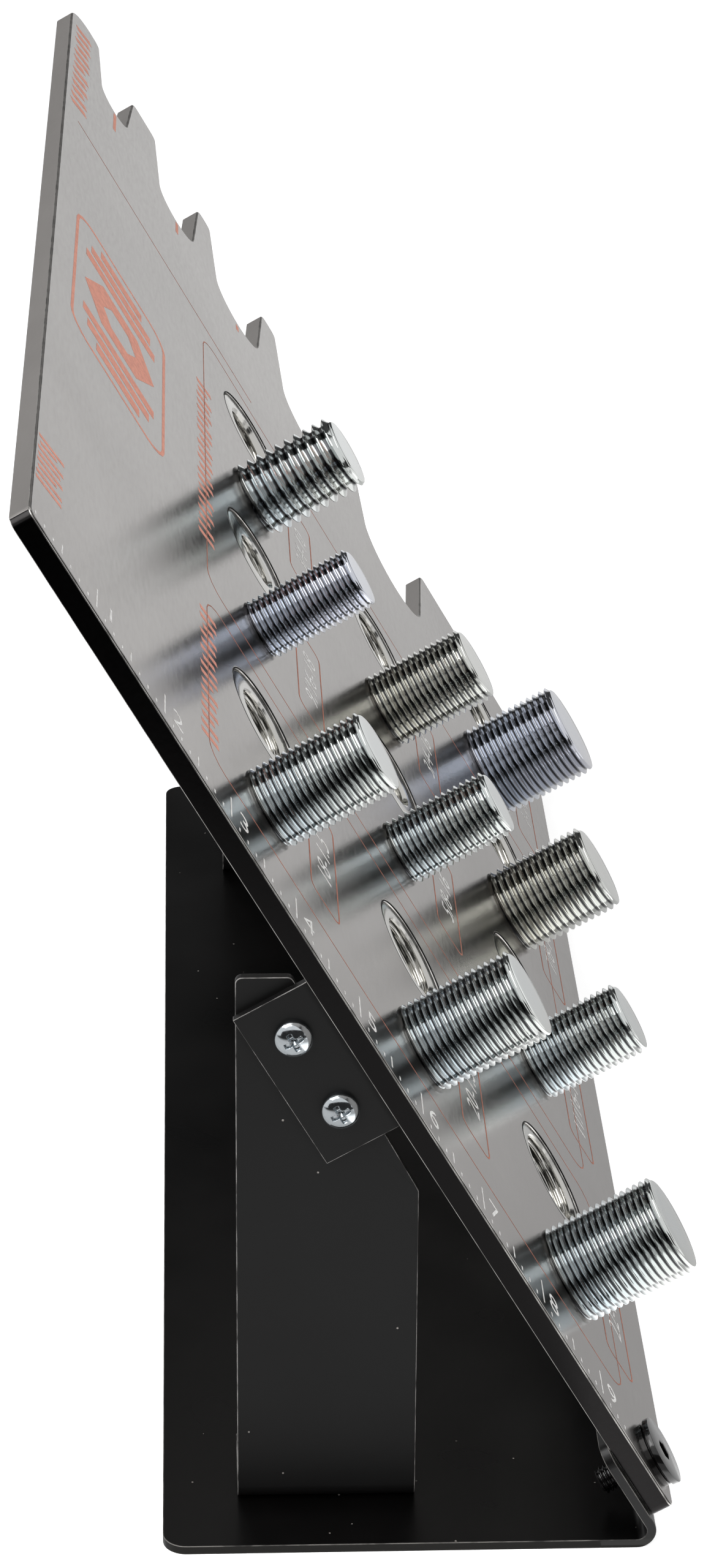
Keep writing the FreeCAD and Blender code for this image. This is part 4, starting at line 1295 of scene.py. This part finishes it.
@dataclass(frozen=True)
class SocketScrew:
    """A disc-headed screw on a collar, with a hexagon socket, its seat at zero and its head towards +Z."""

    head: float = 7.5 * MM
    high: float = 2.4 * MM
    bevel: float = 0.15 * MM
    collar: float = 7.1 * MM
    collar_high: float = 0.75 * MM
    disc_low: float = 0.95 * MM
    neck: float = 6.5 * MM
    socket: float = 4.0 * MM
    socket_deep: float = 1.7 * MM
    socket_bevel: float = 0.15 * MM
    drill_deep: float = 0.4 * MM
    rim_ease: float = 0.2 * MM
    bevel_ease: float = 0.3
    shank: float = 3.0 * MM
    pitch: float = 1.0 * MM
    runout: float = 0.3 * MM
    tip_bevel: float = 0.8
    segments: int = 96

    def mesh(self, length: float) -> Tuple[Array, Array]:
        """One screw.

        Args:
            length: of its shank.

        Returns:
            Points and faces.
        """
        form = ThreadForm(self.shank, self.pitch, segments=self.segments)
        start, away = -self.runout, self.tip_bevel * form.depth
        shank = form.surface(-length, start, away, 0.0)
        tip = turned_rings([(form.end_ring(-length, away), -length), (0.0, -length)], self.segments)
        hexagon = hexagon_radius(self.socket, self.segments)
        floor = self.high - self.socket_deep
        ease, soft = self.rim_ease, self.bevel_ease * self.bevel
        collar = [(self.collar, 0.0), (self.collar, self.collar_high - ease),
                  (self.collar - ease, self.collar_high), (self.neck, self.collar_high)]
        disc = [(self.neck, self.disc_low), (self.head - ease, self.disc_low),
                (self.head, self.disc_low + ease), (self.head, self.high - self.bevel),
                (self.head - soft, self.high - soft), (self.head - self.bevel, self.high)]
        socket = [(hexagon + self.socket_bevel, self.high), (hexagon, self.high - self.socket_bevel),
                  (hexagon, floor), (0.0, floor - self.drill_deep)]
        under = [(form.end_ring(start, 0.0), start), (self.shank, 0.0)]
        head = turned_rings(under + collar + disc + socket, self.segments)
        return join_parts([shank, tip, head])


@dataclass(frozen=True)
class HexagonNut:
    """A chamfered nut: the hexagon's radius, held inside a 30 degree cone at each end."""

    flats: float
    bore: float
    pitch: float
    face: float = 0.96
    chamfer_high: float = 0.16
    chamfer_steps: int = 4
    chamfer_slope: float = math.tan(math.radians(30))
    segments: int = 72

    def mesh(self, height: float) -> Tuple[Array, Array]:
        """One nut standing on zero.

        Args:
            height: of the nut.

        Returns:
            Points and faces.
        """
        form = ThreadForm(self.bore, self.pitch, inside=True, segments=self.segments)
        wall = form.surface(0.0, height, form.depth, form.depth)
        hexagon = hexagon_radius(self.flats, self.segments)
        start = self.face * self.flats / 2
        rise = np.linspace(0, self.chamfer_high * height, self.chamfer_steps)
        near = [(np.minimum(hexagon, start + z / self.chamfer_slope), float(z)) for z in rise]
        far = [(radius, height - z) for radius, z in reversed(near)]
        low_ring = [(form.end_ring(0.0, form.depth), 0.0)]
        high_ring = [(form.end_ring(height, form.depth), height)]
        return join_parts([wall, turned_rings(low_ring + near + far + high_ring, self.segments)])


@dataclass(frozen=True)
class FastenerRow:
    """One CAD node of equal fasteners, each remade in its own place."""

    node: str
    axis: Array
    sides: Tuple[Array, Array]
    head: float = 0.0
    outwards: bool = False
    apart: float = 3.0 * MM
    apart_along: float = 60.0 * MM

    def build(self, make: Callable[[float], Tuple[Array, Array]], material: bpy.types.Material, slot: Slot,
              marks: float) -> bpy.types.Object:
        """Makes each fastener along the axis and joins them as one piece.

        Args:
            make: gives a fastener's points and faces for its length below the head.
            material: the finish.
            slot: the record's slot; not used.
            marks: the angle in degrees under which edges are smooth.

        Returns:
            The piece that replaces the node.
        """
        parts = []
        cuts = [(side, self.apart) for side in self.sides] + [(self.axis, self.apart_along)]
        for solid in clusters(vertices(frame["nodes"][self.node].data), cuts):
            middle = (solid.min(axis=0) + solid.max(axis=0)) / 2
            flip = -1.0 if self.outwards and middle @ self.axis < 0 else 1.0
            axis, across, up = self.axis * flip, self.sides[0] * flip, self.sides[1]
            reach = solid @ axis
            seat = float(reach.max()) - self.head
            length = seat - float(reach.min())
            origin = middle - axis * (middle @ axis) + axis * (seat if self.head else reach.min())
            points, faces = make(length)
            turned = points[:, :1] * across + points[:, 1:2] * up + points[:, 2:3] * axis
            parts.append((turned + origin, faces))
        points, faces = join_parts(parts)
        piece = new_piece(self.node + "_made", points, faces, material, marks)
        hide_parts(self.node)
        return piece


@dataclass
class Stand:
    """The folded base, its legs, the brackets and every fastener."""

    ease: float = 0.17 * MM
    uprights: Tuple[str, ...] = ("leg_left", "leg_right", "bracket_left", "bracket_right")
    pan: PanScrew = PanScrew()
    socket: SocketScrew = SocketScrew()
    tab_nut: HexagonNut = HexagonNut(flats=7.0 * MM, bore=2.0 * MM, pitch=0.7 * MM)
    foot_nut: HexagonNut = HexagonNut(flats=8.0 * MM, bore=2.5 * MM, pitch=0.8 * MM)

    def build(self, plate: PlateFrame, finishes: Finishes) -> List[bpy.types.Object]:
        """Dresses the sheet pieces and remakes the fasteners.

        Args:
            plate: the plate's frame.
            finishes: the materials.

        Returns:
            Every piece of the stand.
        """
        made = [eased_copy("base", finishes.black, finishes.base_edge, self.ease)]
        made += [
            eased_copy(node, finishes.black_upright, finishes.sheet_edge, self.ease)
            for node in self.uprights
        ]
        forward, along, upward = np.eye(3)
        tab_sides = (plate.up, -plate.out)
        flange_sides = (plate.up, plate.along)
        high = self.pan.high
        rows = [
            (FastenerRow("tab_screws", -along, tab_sides, high, True), self.pan.mesh, DOME_SMOOTH),
            (FastenerRow("tab_nuts", -along, tab_sides, 0.0, True), self.tab_nut.mesh, NUT_SMOOTH),
            (FastenerRow("flange_screws", -plate.out, flange_sides, high), self.pan.mesh, DOME_SMOOTH),
            (FastenerRow("foot_nuts", upward, (forward, along)), self.foot_nut.mesh, NUT_SMOOTH),
        ]
        for row, make, marks in rows:
            made.append(row.build(make, finishes.fastener, Slot.ZINC, marks))
        lip = FastenerRow("lip_screws", plate.out, (plate.along, plate.up), self.socket.high)
        made.append(lip.build(self.socket.mesh, finishes.screw, Slot.SCREW, THREAD_SMOOTH))
        made.append(dressed("foot_bolts", finishes.fastener))
        return made


def dressed(node: str, material: bpy.types.Material) -> bpy.types.Object:
    """A CAD node that stays as it is, with its finish.

    Args:
        node: the CAD node.
        material: its finish.

    Returns:
        The node's object.
    """
    piece = frame["nodes"][node]
    piece.data.materials.clear()
    piece.data.materials.append(material)
    return piece


# Markings


@dataclass
class Marking:
    """Flat marks of one paint, gathered as thin blocks that stand a hair above the plate."""

    name: str
    high: float = 0.03 * MM
    sunk: float = 0.01 * MM
    points: List[Array] = field(default_factory=list)
    faces: List[Array] = field(default_factory=list)
    count: int = 0

    def band(self, left: Array, right: Array, closed: bool = False) -> None:
        """Adds a band between two rails of equally many points, each point down and across.

        The upper face lies at the paint's height and the lower one just inside the plate.

        Args:
            left, right: the rails.
            closed: whether the band joins up with its own start.
        """
        length = len(left)
        rails = [(left, self.high), (right, self.high), (right, -self.sunk), (left, -self.sunk)]
        points = [np.column_stack([rail[:, 1], rail[:, 0], np.full(length, z)]) for rail, z in rails]
        stacked = np.stack(points, axis=1).reshape(-1, 3)
        if closed:
            stacked = np.concatenate([stacked, stacked[:4]])
        faces = grid_faces(len(stacked) // 4, 4, closed=True)
        if not closed:
            ends = np.array([[0, 1, 2, 3], np.arange(4) + len(stacked) - 4])
            faces = np.concatenate([faces, ends])
        self.points.append(stacked)
        self.faces.append(faces + self.count)
        self.count += len(stacked)

    def stroke(self, start: Place, end: Place, width: float) -> None:
        """Adds a straight stroke.

        Args:
            start, end: its ends, down and across.
            width: width of the stroke.
        """
        ends = np.array([start, end])
        run = (ends[1] - ends[0]) / np.linalg.norm(ends[1] - ends[0])
        side = np.array([-run[1], run[0]]) * width / 2
        self.band(ends + side, ends - side)

    def frame(self, low: Place, high: Place, corner: float, width: float) -> None:
        """Adds a rectangular outline with rounded corners.

        Args:
            low, high: its corners, down and across.
            corner: radius of its corners.
            width: width of the line.
        """
        outline = rounded_box(low, high, corner)
        inner = rounded_box(
            (low[0] + width, low[1] + width), (high[0] - width, high[1] - width), max(corner - width, width)
        )
        self.band(outline, inner, closed=True)

    def build(self, plate: PlateFrame, material: bpy.types.Material) -> bpy.types.Object:
        """The gathered marks as one piece on the plate."""
        points = plate.place(np.concatenate(self.points))
        return new_piece(self.name, points, np.concatenate(self.faces), material)


def rounded_box(low: Place, high: Place, corner: float, steps: int = 5) -> Array:
    """The outline of a box with round corners: at each corner a quarter turn about its own centre.

    Args:
        low, high: the box's corners, down and across.
        corner: radius of its corners.
        steps: points in each quarter turn.

    Returns:
        The outline's points, down and across.
    """
    turns = [(1, 1), (0, 1), (0, 0), (1, 0)]
    pieces = []
    for number, (down, across) in enumerate(turns):
        centre = np.array([
            high[0] - corner if down else low[0] + corner,
            high[1] - corner if across else low[1] + corner,
        ])
        angle = math.pi / 2 * (number + np.linspace(0, 1, steps))
        pieces.append(centre + corner * np.stack([np.cos(angle), np.sin(angle)], axis=1))
    return np.concatenate(pieces)


class Reading(Enum):
    """Which way a line of figures runs on the plate."""

    ACROSS = "across"
    DOWN = "down"


# A figure's height as a share of the font's size, half a figure's thickness, how far its middle stands
# off the plate, and how much its strokes are thinned as a share of its height.
FIGURE_SHARE = 0.7
FIGURE_HALF = 0.02 * MM
FIGURE_LIFT = 0.01 * MM
FIGURE_THINNED = -0.01


def write(text: str, height: float, place: Place, reading: Reading, plate: PlateFrame, name: str,
          material: bpy.types.Material) -> bpy.types.Object:
    """Plain figures on the plate, as thin blocks.

    Args:
        text: the figures.
        height: height of a figure.
        place: down and across of the text's middle.
        reading: whether the line runs across the plate or down it.
        plate: the plate's frame.
        name: the piece's name.
        material: its paint.

    Returns:
        The piece.
    """
    curve = bpy.data.curves.new(name, "FONT")
    curve.body = text
    curve.size = height / FIGURE_SHARE
    curve.align_x, curve.align_y = "CENTER", "CENTER"
    curve.extrude = FIGURE_HALF
    curve.resolution_u = 3
    curve.offset = FIGURE_THINNED * height
    holder = bpy.data.objects.new(name, curve)
    bpy.context.scene.collection.objects.link(holder)
    mesh = bpy.data.meshes.new_from_object(holder.evaluated_get(bpy.context.evaluated_depsgraph_get()))
    bpy.data.objects.remove(holder)
    bpy.data.curves.remove(curve)
    local = vertices(mesh)
    local[:, :2] -= (local[:, :2].min(axis=0) + local[:, :2].max(axis=0)) / 2
    along, high, out = local.T
    down, across = (-high, along) if reading is Reading.ACROSS else (along, high)
    placed = plate.place(np.column_stack([across + place[1], down + place[0], out + FIGURE_LIFT]))
    faces = [list(polygon.vertices) for polygon in mesh.polygons]
    bpy.data.meshes.remove(mesh)
    return new_piece(name, placed, faces, material)


@dataclass
class Ruler:
    """The inch ruler down the near edge: a dot every eighth, ticks and figures.

    A tick is given by how far in from the edge it starts and ends, in inches.
    """

    zero: float = -0.05 * INCH
    last: int = 9
    beyond: int = 4
    line: float = 0.018 * INCH
    inch_tick: Place = (0.12, 0.47)
    half_tick: Place = (0.1, 0.27)
    eighth_tick: Place = (0.085, 0.14)
    figure: float = 0.25 * INCH
    figure_below: float = 0.2
    figure_across: float = 0.37 * INCH

    def build(self, plate: PlateFrame, finishes: Finishes) -> List[bpy.types.Object]:
        """The ruler's pieces.

        Args:
            plate: the plate's frame.
            finishes: the materials.

        Returns:
            The marks as one piece and each figure as another.
        """
        marks = Marking("ruler_marks")
        for step in range(1, self.last * 8 + self.beyond):
            down = self.zero + step / 8 * INCH
            if step % 8 == 0:
                tick = self.inch_tick
            elif step % 4 == 0:
                tick = self.half_tick
            else:
                tick = self.eighth_tick
            marks.stroke((down, tick[0] * INCH), (down, tick[1] * INCH), self.line)
        made = [marks.build(plate, finishes.white_ink)]
        for inch in range(1, self.last + 1):
            place = (self.zero + (inch + self.figure_below) * INCH, self.figure_across)
            name = f"ruler_figure_{inch}"
            made.append(
                write(str(inch), self.figure, place, Reading.DOWN, plate, name, finishes.white_ink)
            )
        return made


@dataclass(frozen=True)
class Hatch:
    """A block of slanted strokes in place of a heading. Every length is in inches."""

    low: Place
    high: Place
    pitch: float
    lean: float
    share: float = 0.4
    rhythm: Tuple[float, ...] = (1.0, 1.0, 0.72, 1.0, 0.86, 1.0, 0.64)
    even_inset: float = 0.4

    def mark(self, marks: Marking) -> None:
        """Fills the block with strokes whose lengths vary in a fixed rhythm.

        Args:
            marks: where the strokes go.
        """
        depth = self.high[0] - self.low[0]
        for number in range(int((self.high[1] - self.low[1]) / self.pitch)):
            across = self.low[1] + number * self.pitch
            part = self.rhythm[number % len(self.rhythm)]
            inset = depth * (1 - part) / 2 * (1 if number % 2 else self.even_inset)
            start = ((self.low[0] + inset) * INCH, across * INCH)
            end = ((self.low[0] + inset + depth * part) * INCH, (across + self.lean) * INCH)
            marks.stroke(start, end, self.pitch * self.share * INCH)


@dataclass(frozen=True)
class Emblem:
    """A plain device for the head: a framed hexagon nut between two sets of stepped bars, in inches."""

    middle: Place = (1.13, 7.12)
    low: Place = (0.34, 5.5)
    high: Place = (1.92, 8.75)
    corner: float = 0.3
    frame_line: float = 0.045
    outer: float = 0.6
    inner: float = 0.28
    bar_start: float = 0.78
    bar_step: float = 0.27
    bar_wide: float = 0.19
    bar_reaches: Tuple[float, ...] = (0.6, 0.52, 0.36)

    def mark(self, marks: Marking) -> None:
        """Adds the frame, the hexagon and the bars.

        Args:
            marks: where they go.
        """
        low, high = (tuple(v * INCH for v in corner) for corner in (self.low, self.high))
        marks.frame(low, high, self.corner * INCH, self.frame_line * INCH)
        centre = np.array(self.middle) * INCH
        angle = full_turn(6)
        around = np.stack([np.cos(angle), np.sin(angle)], axis=1)
        marks.band(centre + around * self.outer * INCH, centre + around * self.inner * INCH, closed=True)
        down, across = self.middle
        for side in (-1, 1):
            for step, reach in enumerate(self.bar_reaches):
                bar = (across + side * (self.bar_start + self.bar_step * step)) * INCH
                start, end = ((down - reach) * INCH, bar), ((down + reach) * INCH, bar)
                marks.stroke(start, end, self.bar_wide * INCH)


@dataclass
class Headings:
    """The coral heading blocks and emblem, the frames, the size figures and the painted shade of the
    inserts' seams.

    Dashes are given by down, start and end, frames by low and high corners, all in inches.
    """

    thin: float = 0.012 * INCH
    line: float = 0.018 * INCH
    blocks: Tuple[Hatch, ...] = (
        Hatch((0.04, 0.85), (0.40, 2.0), 0.13, 0.12),
        Hatch((0.11, 11.75), (0.37, 14.75), 0.23, 0.16),
        Hatch((2.51, 0.97), (2.77, 3.8), 0.17, 0.08),
        Hatch((2.51, 5.35), (2.77, 9.55), 0.19, 0.08),
    )
    emblem: Emblem = Emblem()
    dashes: Tuple[Tuple[float, float, float], ...] = (
        (0.895, 13.02, 13.6), (2.14, 13.0, 13.33), (3.37, 13.05, 13.2)
    )
    dash_wide: float = 0.05 * INCH
    frames: Tuple[Tuple[Place, Place], ...] = (((2.62, 0.72), (9.42, 3.98)), ((2.64, 4.42), (9.42, 11.0)))
    frame_corner: float = 0.25 * INCH
    rule: Tuple[Place, Place] = ((0.25, 11.35), (3.6, 11.35))
    tag_low: Place = (0.65, -0.2)
    tag_high: Place = (1.12, -0.05)
    tag_corner: float = 0.1 * INCH
    figure: float = 0.23 * INCH
    figure_down: float = 0.9 * INCH
    figure_back: float = 0.1 * INCH
    seam: float = 0.3 * MM
    seam_under: float = 0.05 * MM
    seam_segments: int = 96

    def build(self, plate: PlateFrame, finishes: Finishes) -> List[bpy.types.Object]:
        """Every mark of the plate but the ruler's.

        Args:
            plate: the plate's frame.
            finishes: the materials.

        Returns:
            The coral marks, the frame lines and the painted seam shade as a piece each, and the size
            figures.
        """
        solid = Marking("coral_headings")
        for hatch in self.blocks:
            hatch.mark(solid)
        self.emblem.mark(solid)
        for down, start, end in self.dashes:
            solid.stroke((down * INCH, start * INCH), (down * INCH, end * INCH), self.dash_wide)

        lines = Marking("frame_lines")
        for corners in self.frames:
            low, high = (tuple(v * INCH for v in corner) for corner in corners)
            lines.frame(low, high, self.frame_corner, self.thin)
        start, end = (tuple(v * INCH for v in place) for place in self.rule)
        lines.stroke(start, end, self.thin)
        for gauge in GAUGES:
            row, stud, insert = gauge.row_and_column(plate)
            low = (row + self.tag_low[0] * INCH, stud + self.tag_low[1] * INCH)
            high = (row + self.tag_high[0] * INCH, insert + self.tag_high[1] * INCH)
            lines.frame(low, high, self.tag_corner, self.line)
        made = [
            solid.build(plate, finishes.coral_ink),
            lines.build(plate, finishes.line_ink),
            self.seams(plate).build(plate, finishes.seam),
        ]
        for gauge in GAUGES:
            row, stud, insert = gauge.row_and_column(plate)
            place = (row + self.figure_down, (stud + insert) / 2 - self.figure_back)
            name = f"size_figures_{gauge.name}"
            made.append(
                write(gauge.label, self.figure, place, Reading.ACROSS, plate, name, finishes.white_ink)
            )
        return made

    def seams(self, plate: PlateFrame) -> Marking:
        """The dark line where each insert meets the plate, a painted shadow of the gap between them: a ring
        of its outer radius.

        Args:
            plate: the plate's frame.

        Returns:
            The rings as one lot of marks.
        """
        marks = Marking("insert_seams")
        angle = full_turn(self.seam_segments)
        around = np.stack([np.cos(angle), np.sin(angle)], axis=1)
        for gauge in GAUGES:
            low, high = plate.extent(f"insert_{gauge.name}")
            centre = np.array([low[1] + high[1], low[0] + high[0]]) / 2
            outer = float(high[0] - low[0]) / 2
            rails = [centre + around * (outer + reach) for reach in (self.seam, -self.seam_under)]
            marks.band(*rails, closed=True)
        return marks


# Studio


# The middle of the object, which the lamps are aimed at.
AIM = (0.0, 0.0, 0.1)


@dataclass(frozen=True)
class PhotoCamera:
    """The photograph's camera, fitted to the ruler's ticks and the gauges' centres."""

    place: Tuple[float, float, float] = (-0.043747, -0.968550, 0.521688)
    yaw: float = 2.2825
    down: float = 24.0631
    roll: float = 0.3970
    focal_pixels: float = 7203.7
    long_side: int = 2560
    sensor: float = 36.0
    clip: Tuple[float, float] = (0.05, 100.0)

    def build(self) -> None:
        """Makes the camera and sets it as the scene's."""
        yaw, down, roll = (math.radians(v) for v in (self.yaw, self.down, self.roll))
        ahead = np.array([math.sin(yaw) * math.cos(down), math.cos(yaw) * math.cos(down), -math.sin(down)])
        right = np.array([math.cos(yaw), -math.sin(yaw), 0.0])
        above = np.cross(right, ahead)
        turned_right = math.cos(roll) * right + math.sin(roll) * above
        turned_above = -math.sin(roll) * right + math.cos(roll) * above
        matrix = Matrix.Identity(4)
        for row in range(3):
            matrix[row][0] = float(turned_right[row])
            matrix[row][1] = float(turned_above[row])
            matrix[row][2] = float(-ahead[row])
            matrix[row][3] = self.place[row]
        data = bpy.data.cameras.new("photo_camera")
        data.sensor_fit = "AUTO"
        data.sensor_width = self.sensor
        data.lens = self.focal_pixels * self.sensor / self.long_side
        data.clip_start, data.clip_end = self.clip
        made = bpy.data.objects.new("photo_camera", data)
        made.matrix_world = matrix
        bpy.context.scene.collection.objects.link(made)
        bpy.context.scene.camera = made


@dataclass(frozen=True)
class Card:
    """A flat card beside the object that only its reflections see.

    It has one tone, or fades between two along an axis, or has another tone where it is seen at a slant,
    like a softbox behind a grid.
    """

    name: str
    centre: Tuple[float, float, float]
    facing: Tuple[float, float, float]
    size: Tuple[float, float]
    tone: float
    other_tone: Optional[float] = None
    fade: Tuple[float, float] = (0.0, 1.0)
    fade_axis: str = "Z"
    slanted_tone: Optional[float] = None
    slant: Tuple[float, float] = (0.42, 0.58)

    def build(self) -> None:
        """Makes the card, facing the way it is given."""
        across, high = self.size
        corners = [(-across / 2, -high / 2, 0), (across / 2, -high / 2, 0),
                   (across / 2, high / 2, 0), (-across / 2, high / 2, 0)]
        turn = Vector(self.facing).to_track_quat("Z", "Y").to_matrix().to_4x4()
        matrix = Matrix.Translation(self.centre) @ turn
        mesh = bpy.data.meshes.new(self.name)
        mesh.from_pydata([tuple(matrix @ Vector(c)) for c in corners], [], [(0, 1, 2, 3)])
        material = bpy.data.materials.new(self.name)
        material.use_nodes = True
        material.node_tree.nodes.clear()
        wiring = Wiring(material.node_tree)
        glow = wiring.node("ShaderNodeEmission", {"Strength": self.tone})
        if self.other_tone is not None:
            place = wiring.component(wiring.object_place(), self.fade_axis)
            faded = wiring.ramp(place, *self.fade, self.other_tone, self.tone)
            wiring.feed(faded, glow, "Strength")
        if self.slanted_tone is not None:
            facing = wiring.node("ShaderNodeLayerWeight", {"Blend": 0.5}).outputs["Facing"]
            gridded = wiring.ramp(facing, *self.slant, self.tone, self.slanted_tone)
            wiring.feed(gridded, glow, "Strength")
        wiring.node("ShaderNodeOutputMaterial", {"Surface": glow.outputs[0]})
        mesh.materials.append(material)
        made = bpy.data.objects.new(self.name, mesh)
        bpy.context.scene.collection.objects.link(made)
        made.visible_camera = False
        made.visible_diffuse = False
        made.visible_shadow = False
        made.visible_transmission = False


@dataclass
class Studio:
    """Pale floor, soft lamps, and the dark and light cards that the steel reflects."""

    floor_size: float = 60.0
    floor_tone: float = 0.8
    white: float = 0.6
    fill: float = 0.28
    mirrored_floor: Tuple[float, float, float] = (0.12, 0.47, 0.8)
    mirrored_span: Tuple[float, float] = (0.0, 0.9)
    mirrored_world: float = 0.85

    def build(self) -> None:
        """Makes the floor, the world, the lamps and the cards."""
        self.floor()
        self.world()
        self.lamp("softbox_left", (-1.05, -1.35, 1.3), 1.2, 45.0)
        self.lamp("softbox_right", (1.6, -0.9, 1.4), 1.5, 26.0)
        cards = [
            Card("softbox_face", (-1.16, -0.5, 1.52), (0.62, 0.27, -0.74), (1.5, 0.6), 5.6),
            Card("far_dark", (1.225, 2.6, 1.3), (0, -1, 0), (3.55, 2.2), 0.05, 0.3, (0.25, 0.4)),
            Card("far_grey", (-2.0, 2.6, 1.3), (0, -1, 0), (2.9, 2.2), 0.7, 0.02, (0.74, 0.86)),
            Card("side_dark", (2.3, 1.0, 0.7), (-1, 0, 0), (3.2, 0.5), 0.03),
            Card("overhead_dark", (-1.75, 1.0, 2.6), (0, 0, -1), (2.9, 3.4), 0.03),
            Card("overhead_light", (-0.87, -0.75, 2.59), (0, 0, -1), (1.1, 2.3), 3.1),
            Card("front_floor_light", (0.17, -0.26, 0.0007), (0, 0, 1), (0.26, 0.56), 1.9,
                 slanted_tone=0.55),
            Card("side_floor_light", (0.8, -0.05, 0.0007), (0, 0, 1), (1.03, 1.1), 1.15),
            Card("near_floor", (0.0, -2.0, 0.0005), (0, 0, 1), (5.0, 3.56), 0.68, 0.03,
                 (-0.62, -0.44), "Y"),
            Card("near_dark", (-0.5, -3.2, 0.7), (0, 1, 0), (6.0, 1.6), 0.03),
        ]
        for card in cards:
            card.build()

    def floor(self) -> None:
        """A wide pale floor: it takes the shadow, shows white to the camera and dimmer to reflections."""
        reach = self.floor_size / 2
        corners = [(-reach, -reach, 0), (reach, -reach, 0), (reach, reach, 0), (-reach, reach, 0)]
        mesh = bpy.data.meshes.new("floor")
        mesh.from_pydata(corners, [], [(0, 1, 2, 3)])
        material = bpy.data.materials.new("pale_floor")
        material.use_nodes = True
        material.node_tree.nodes.clear()
        wiring = Wiring(material.node_tree)
        mirrored = wiring.node("ShaderNodeLightPath").outputs["Is Glossy Ray"]
        tone, near, far = self.mirrored_floor
        plain, dimmed = ((level,) * 3 + (1.0,) for level in (self.floor_tone, tone))
        matt = wiring.node("ShaderNodeBsdfDiffuse", {"Color": wiring.blend(mirrored, plain, dimmed)})
        distance = wiring.component(wiring.object_place(), "Y")
        level = wiring.ramp(distance, *self.mirrored_span, near, far)
        direct = wiring.maths("MULTIPLY", self.seen(wiring, 0.0, 1.0, 0.0), self.white)
        reflected = wiring.maths("MULTIPLY", mirrored, level)
        glow = wiring.node("ShaderNodeEmission", {"Strength": wiring.maths("ADD", direct, reflected)})
        both = wiring.node("ShaderNodeAddShader", {0: matt.outputs[0], 1: glow.outputs[0]})
        wiring.node("ShaderNodeOutputMaterial", {"Surface": both.outputs[0]})
        mesh.materials.append(material)
        floor = bpy.data.objects.new("floor", mesh)
        bpy.context.scene.collection.objects.link(floor)

    @staticmethod
    def seen(wiring: Wiring, otherwise: float, direct: float, mirrored: float) -> bpy.types.NodeSocket:
        """A level by the kind of ray.

        Args:
            wiring: the material's or the world's wiring.
            otherwise: the level for every other ray.
            direct: the level for camera and transmission rays.
            mirrored: the level for glossy rays.

        Returns:
            The level's socket.
        """
        ray = wiring.node("ShaderNodeLightPath").outputs
        straight = wiring.maths("MAXIMUM", ray["Is Camera Ray"], ray["Is Transmission Ray"])
        level = wiring.ramp(ray["Is Glossy Ray"], 0.0, 1.0, otherwise, mirrored)
        lifted = wiring.maths("MULTIPLY", straight, direct - otherwise)
        return wiring.maths("ADD", level, lifted)

    def world(self) -> None:
        """White where it is seen, and a plain fill for diffuse light."""
        world = bpy.data.worlds.new("studio")
        bpy.context.scene.world = world
        world.use_nodes = True
        world.node_tree.nodes.clear()
        wiring = Wiring(world.node_tree)
        strength = self.seen(wiring, self.fill, 1.0, self.mirrored_world)
        back = wiring.node("ShaderNodeBackground", {"Color": (1.0, 1.0, 1.0, 1.0), "Strength": strength})
        wiring.node("ShaderNodeOutputWorld", {"Surface": back.outputs[0]})

    @staticmethod
    def lamp(name: str, place: Tuple[float, float, float], size: float, power: float) -> None:
        """A square soft lamp aimed at the object, left out of reflections, where cards stand for it.

        Args:
            name: the lamp's name.
            place: where it stands.
            size: its side.
            power: its power in watts.
        """
        data = bpy.data.lights.new(name, "AREA")
        data.size = size
        data.energy = power
        made = bpy.data.objects.new(name, data)
        made.visible_glossy = False
        made.location = place
        aim = Vector(AIM) - Vector(place)
        made.rotation_mode = "QUATERNION"
        made.rotation_quaternion = aim.to_track_quat("-Z", "Y")
        bpy.context.scene.collection.objects.link(made)


def main() -> None:
    """Builds the studio and every piece of the object."""
    logging.basicConfig(level=logging.INFO, format="%(message)s")
    scene = bpy.context.scene
    scene.view_settings.view_transform = "Standard"
    PhotoCamera().build()
    Studio().build()
    plate = PlateFrame.from_frame()
    finishes = Finishes(Shaders(), plate)
    made: List[bpy.types.Object] = []
    made += GaugePlate().build(finishes)
    made += Stand().build(plate, finishes)
    for gauge in GAUGES:
        made += [gauge.stud(plate, finishes), gauge.insert(plate, finishes)]
    made += Ruler().build(plate, finishes)
    made += Headings().build(plate, finishes)
    for piece in made:
        LOG.info("%s: %d faces", piece.name, len(piece.data.polygons))


if __name__ == "__main__":
    main()
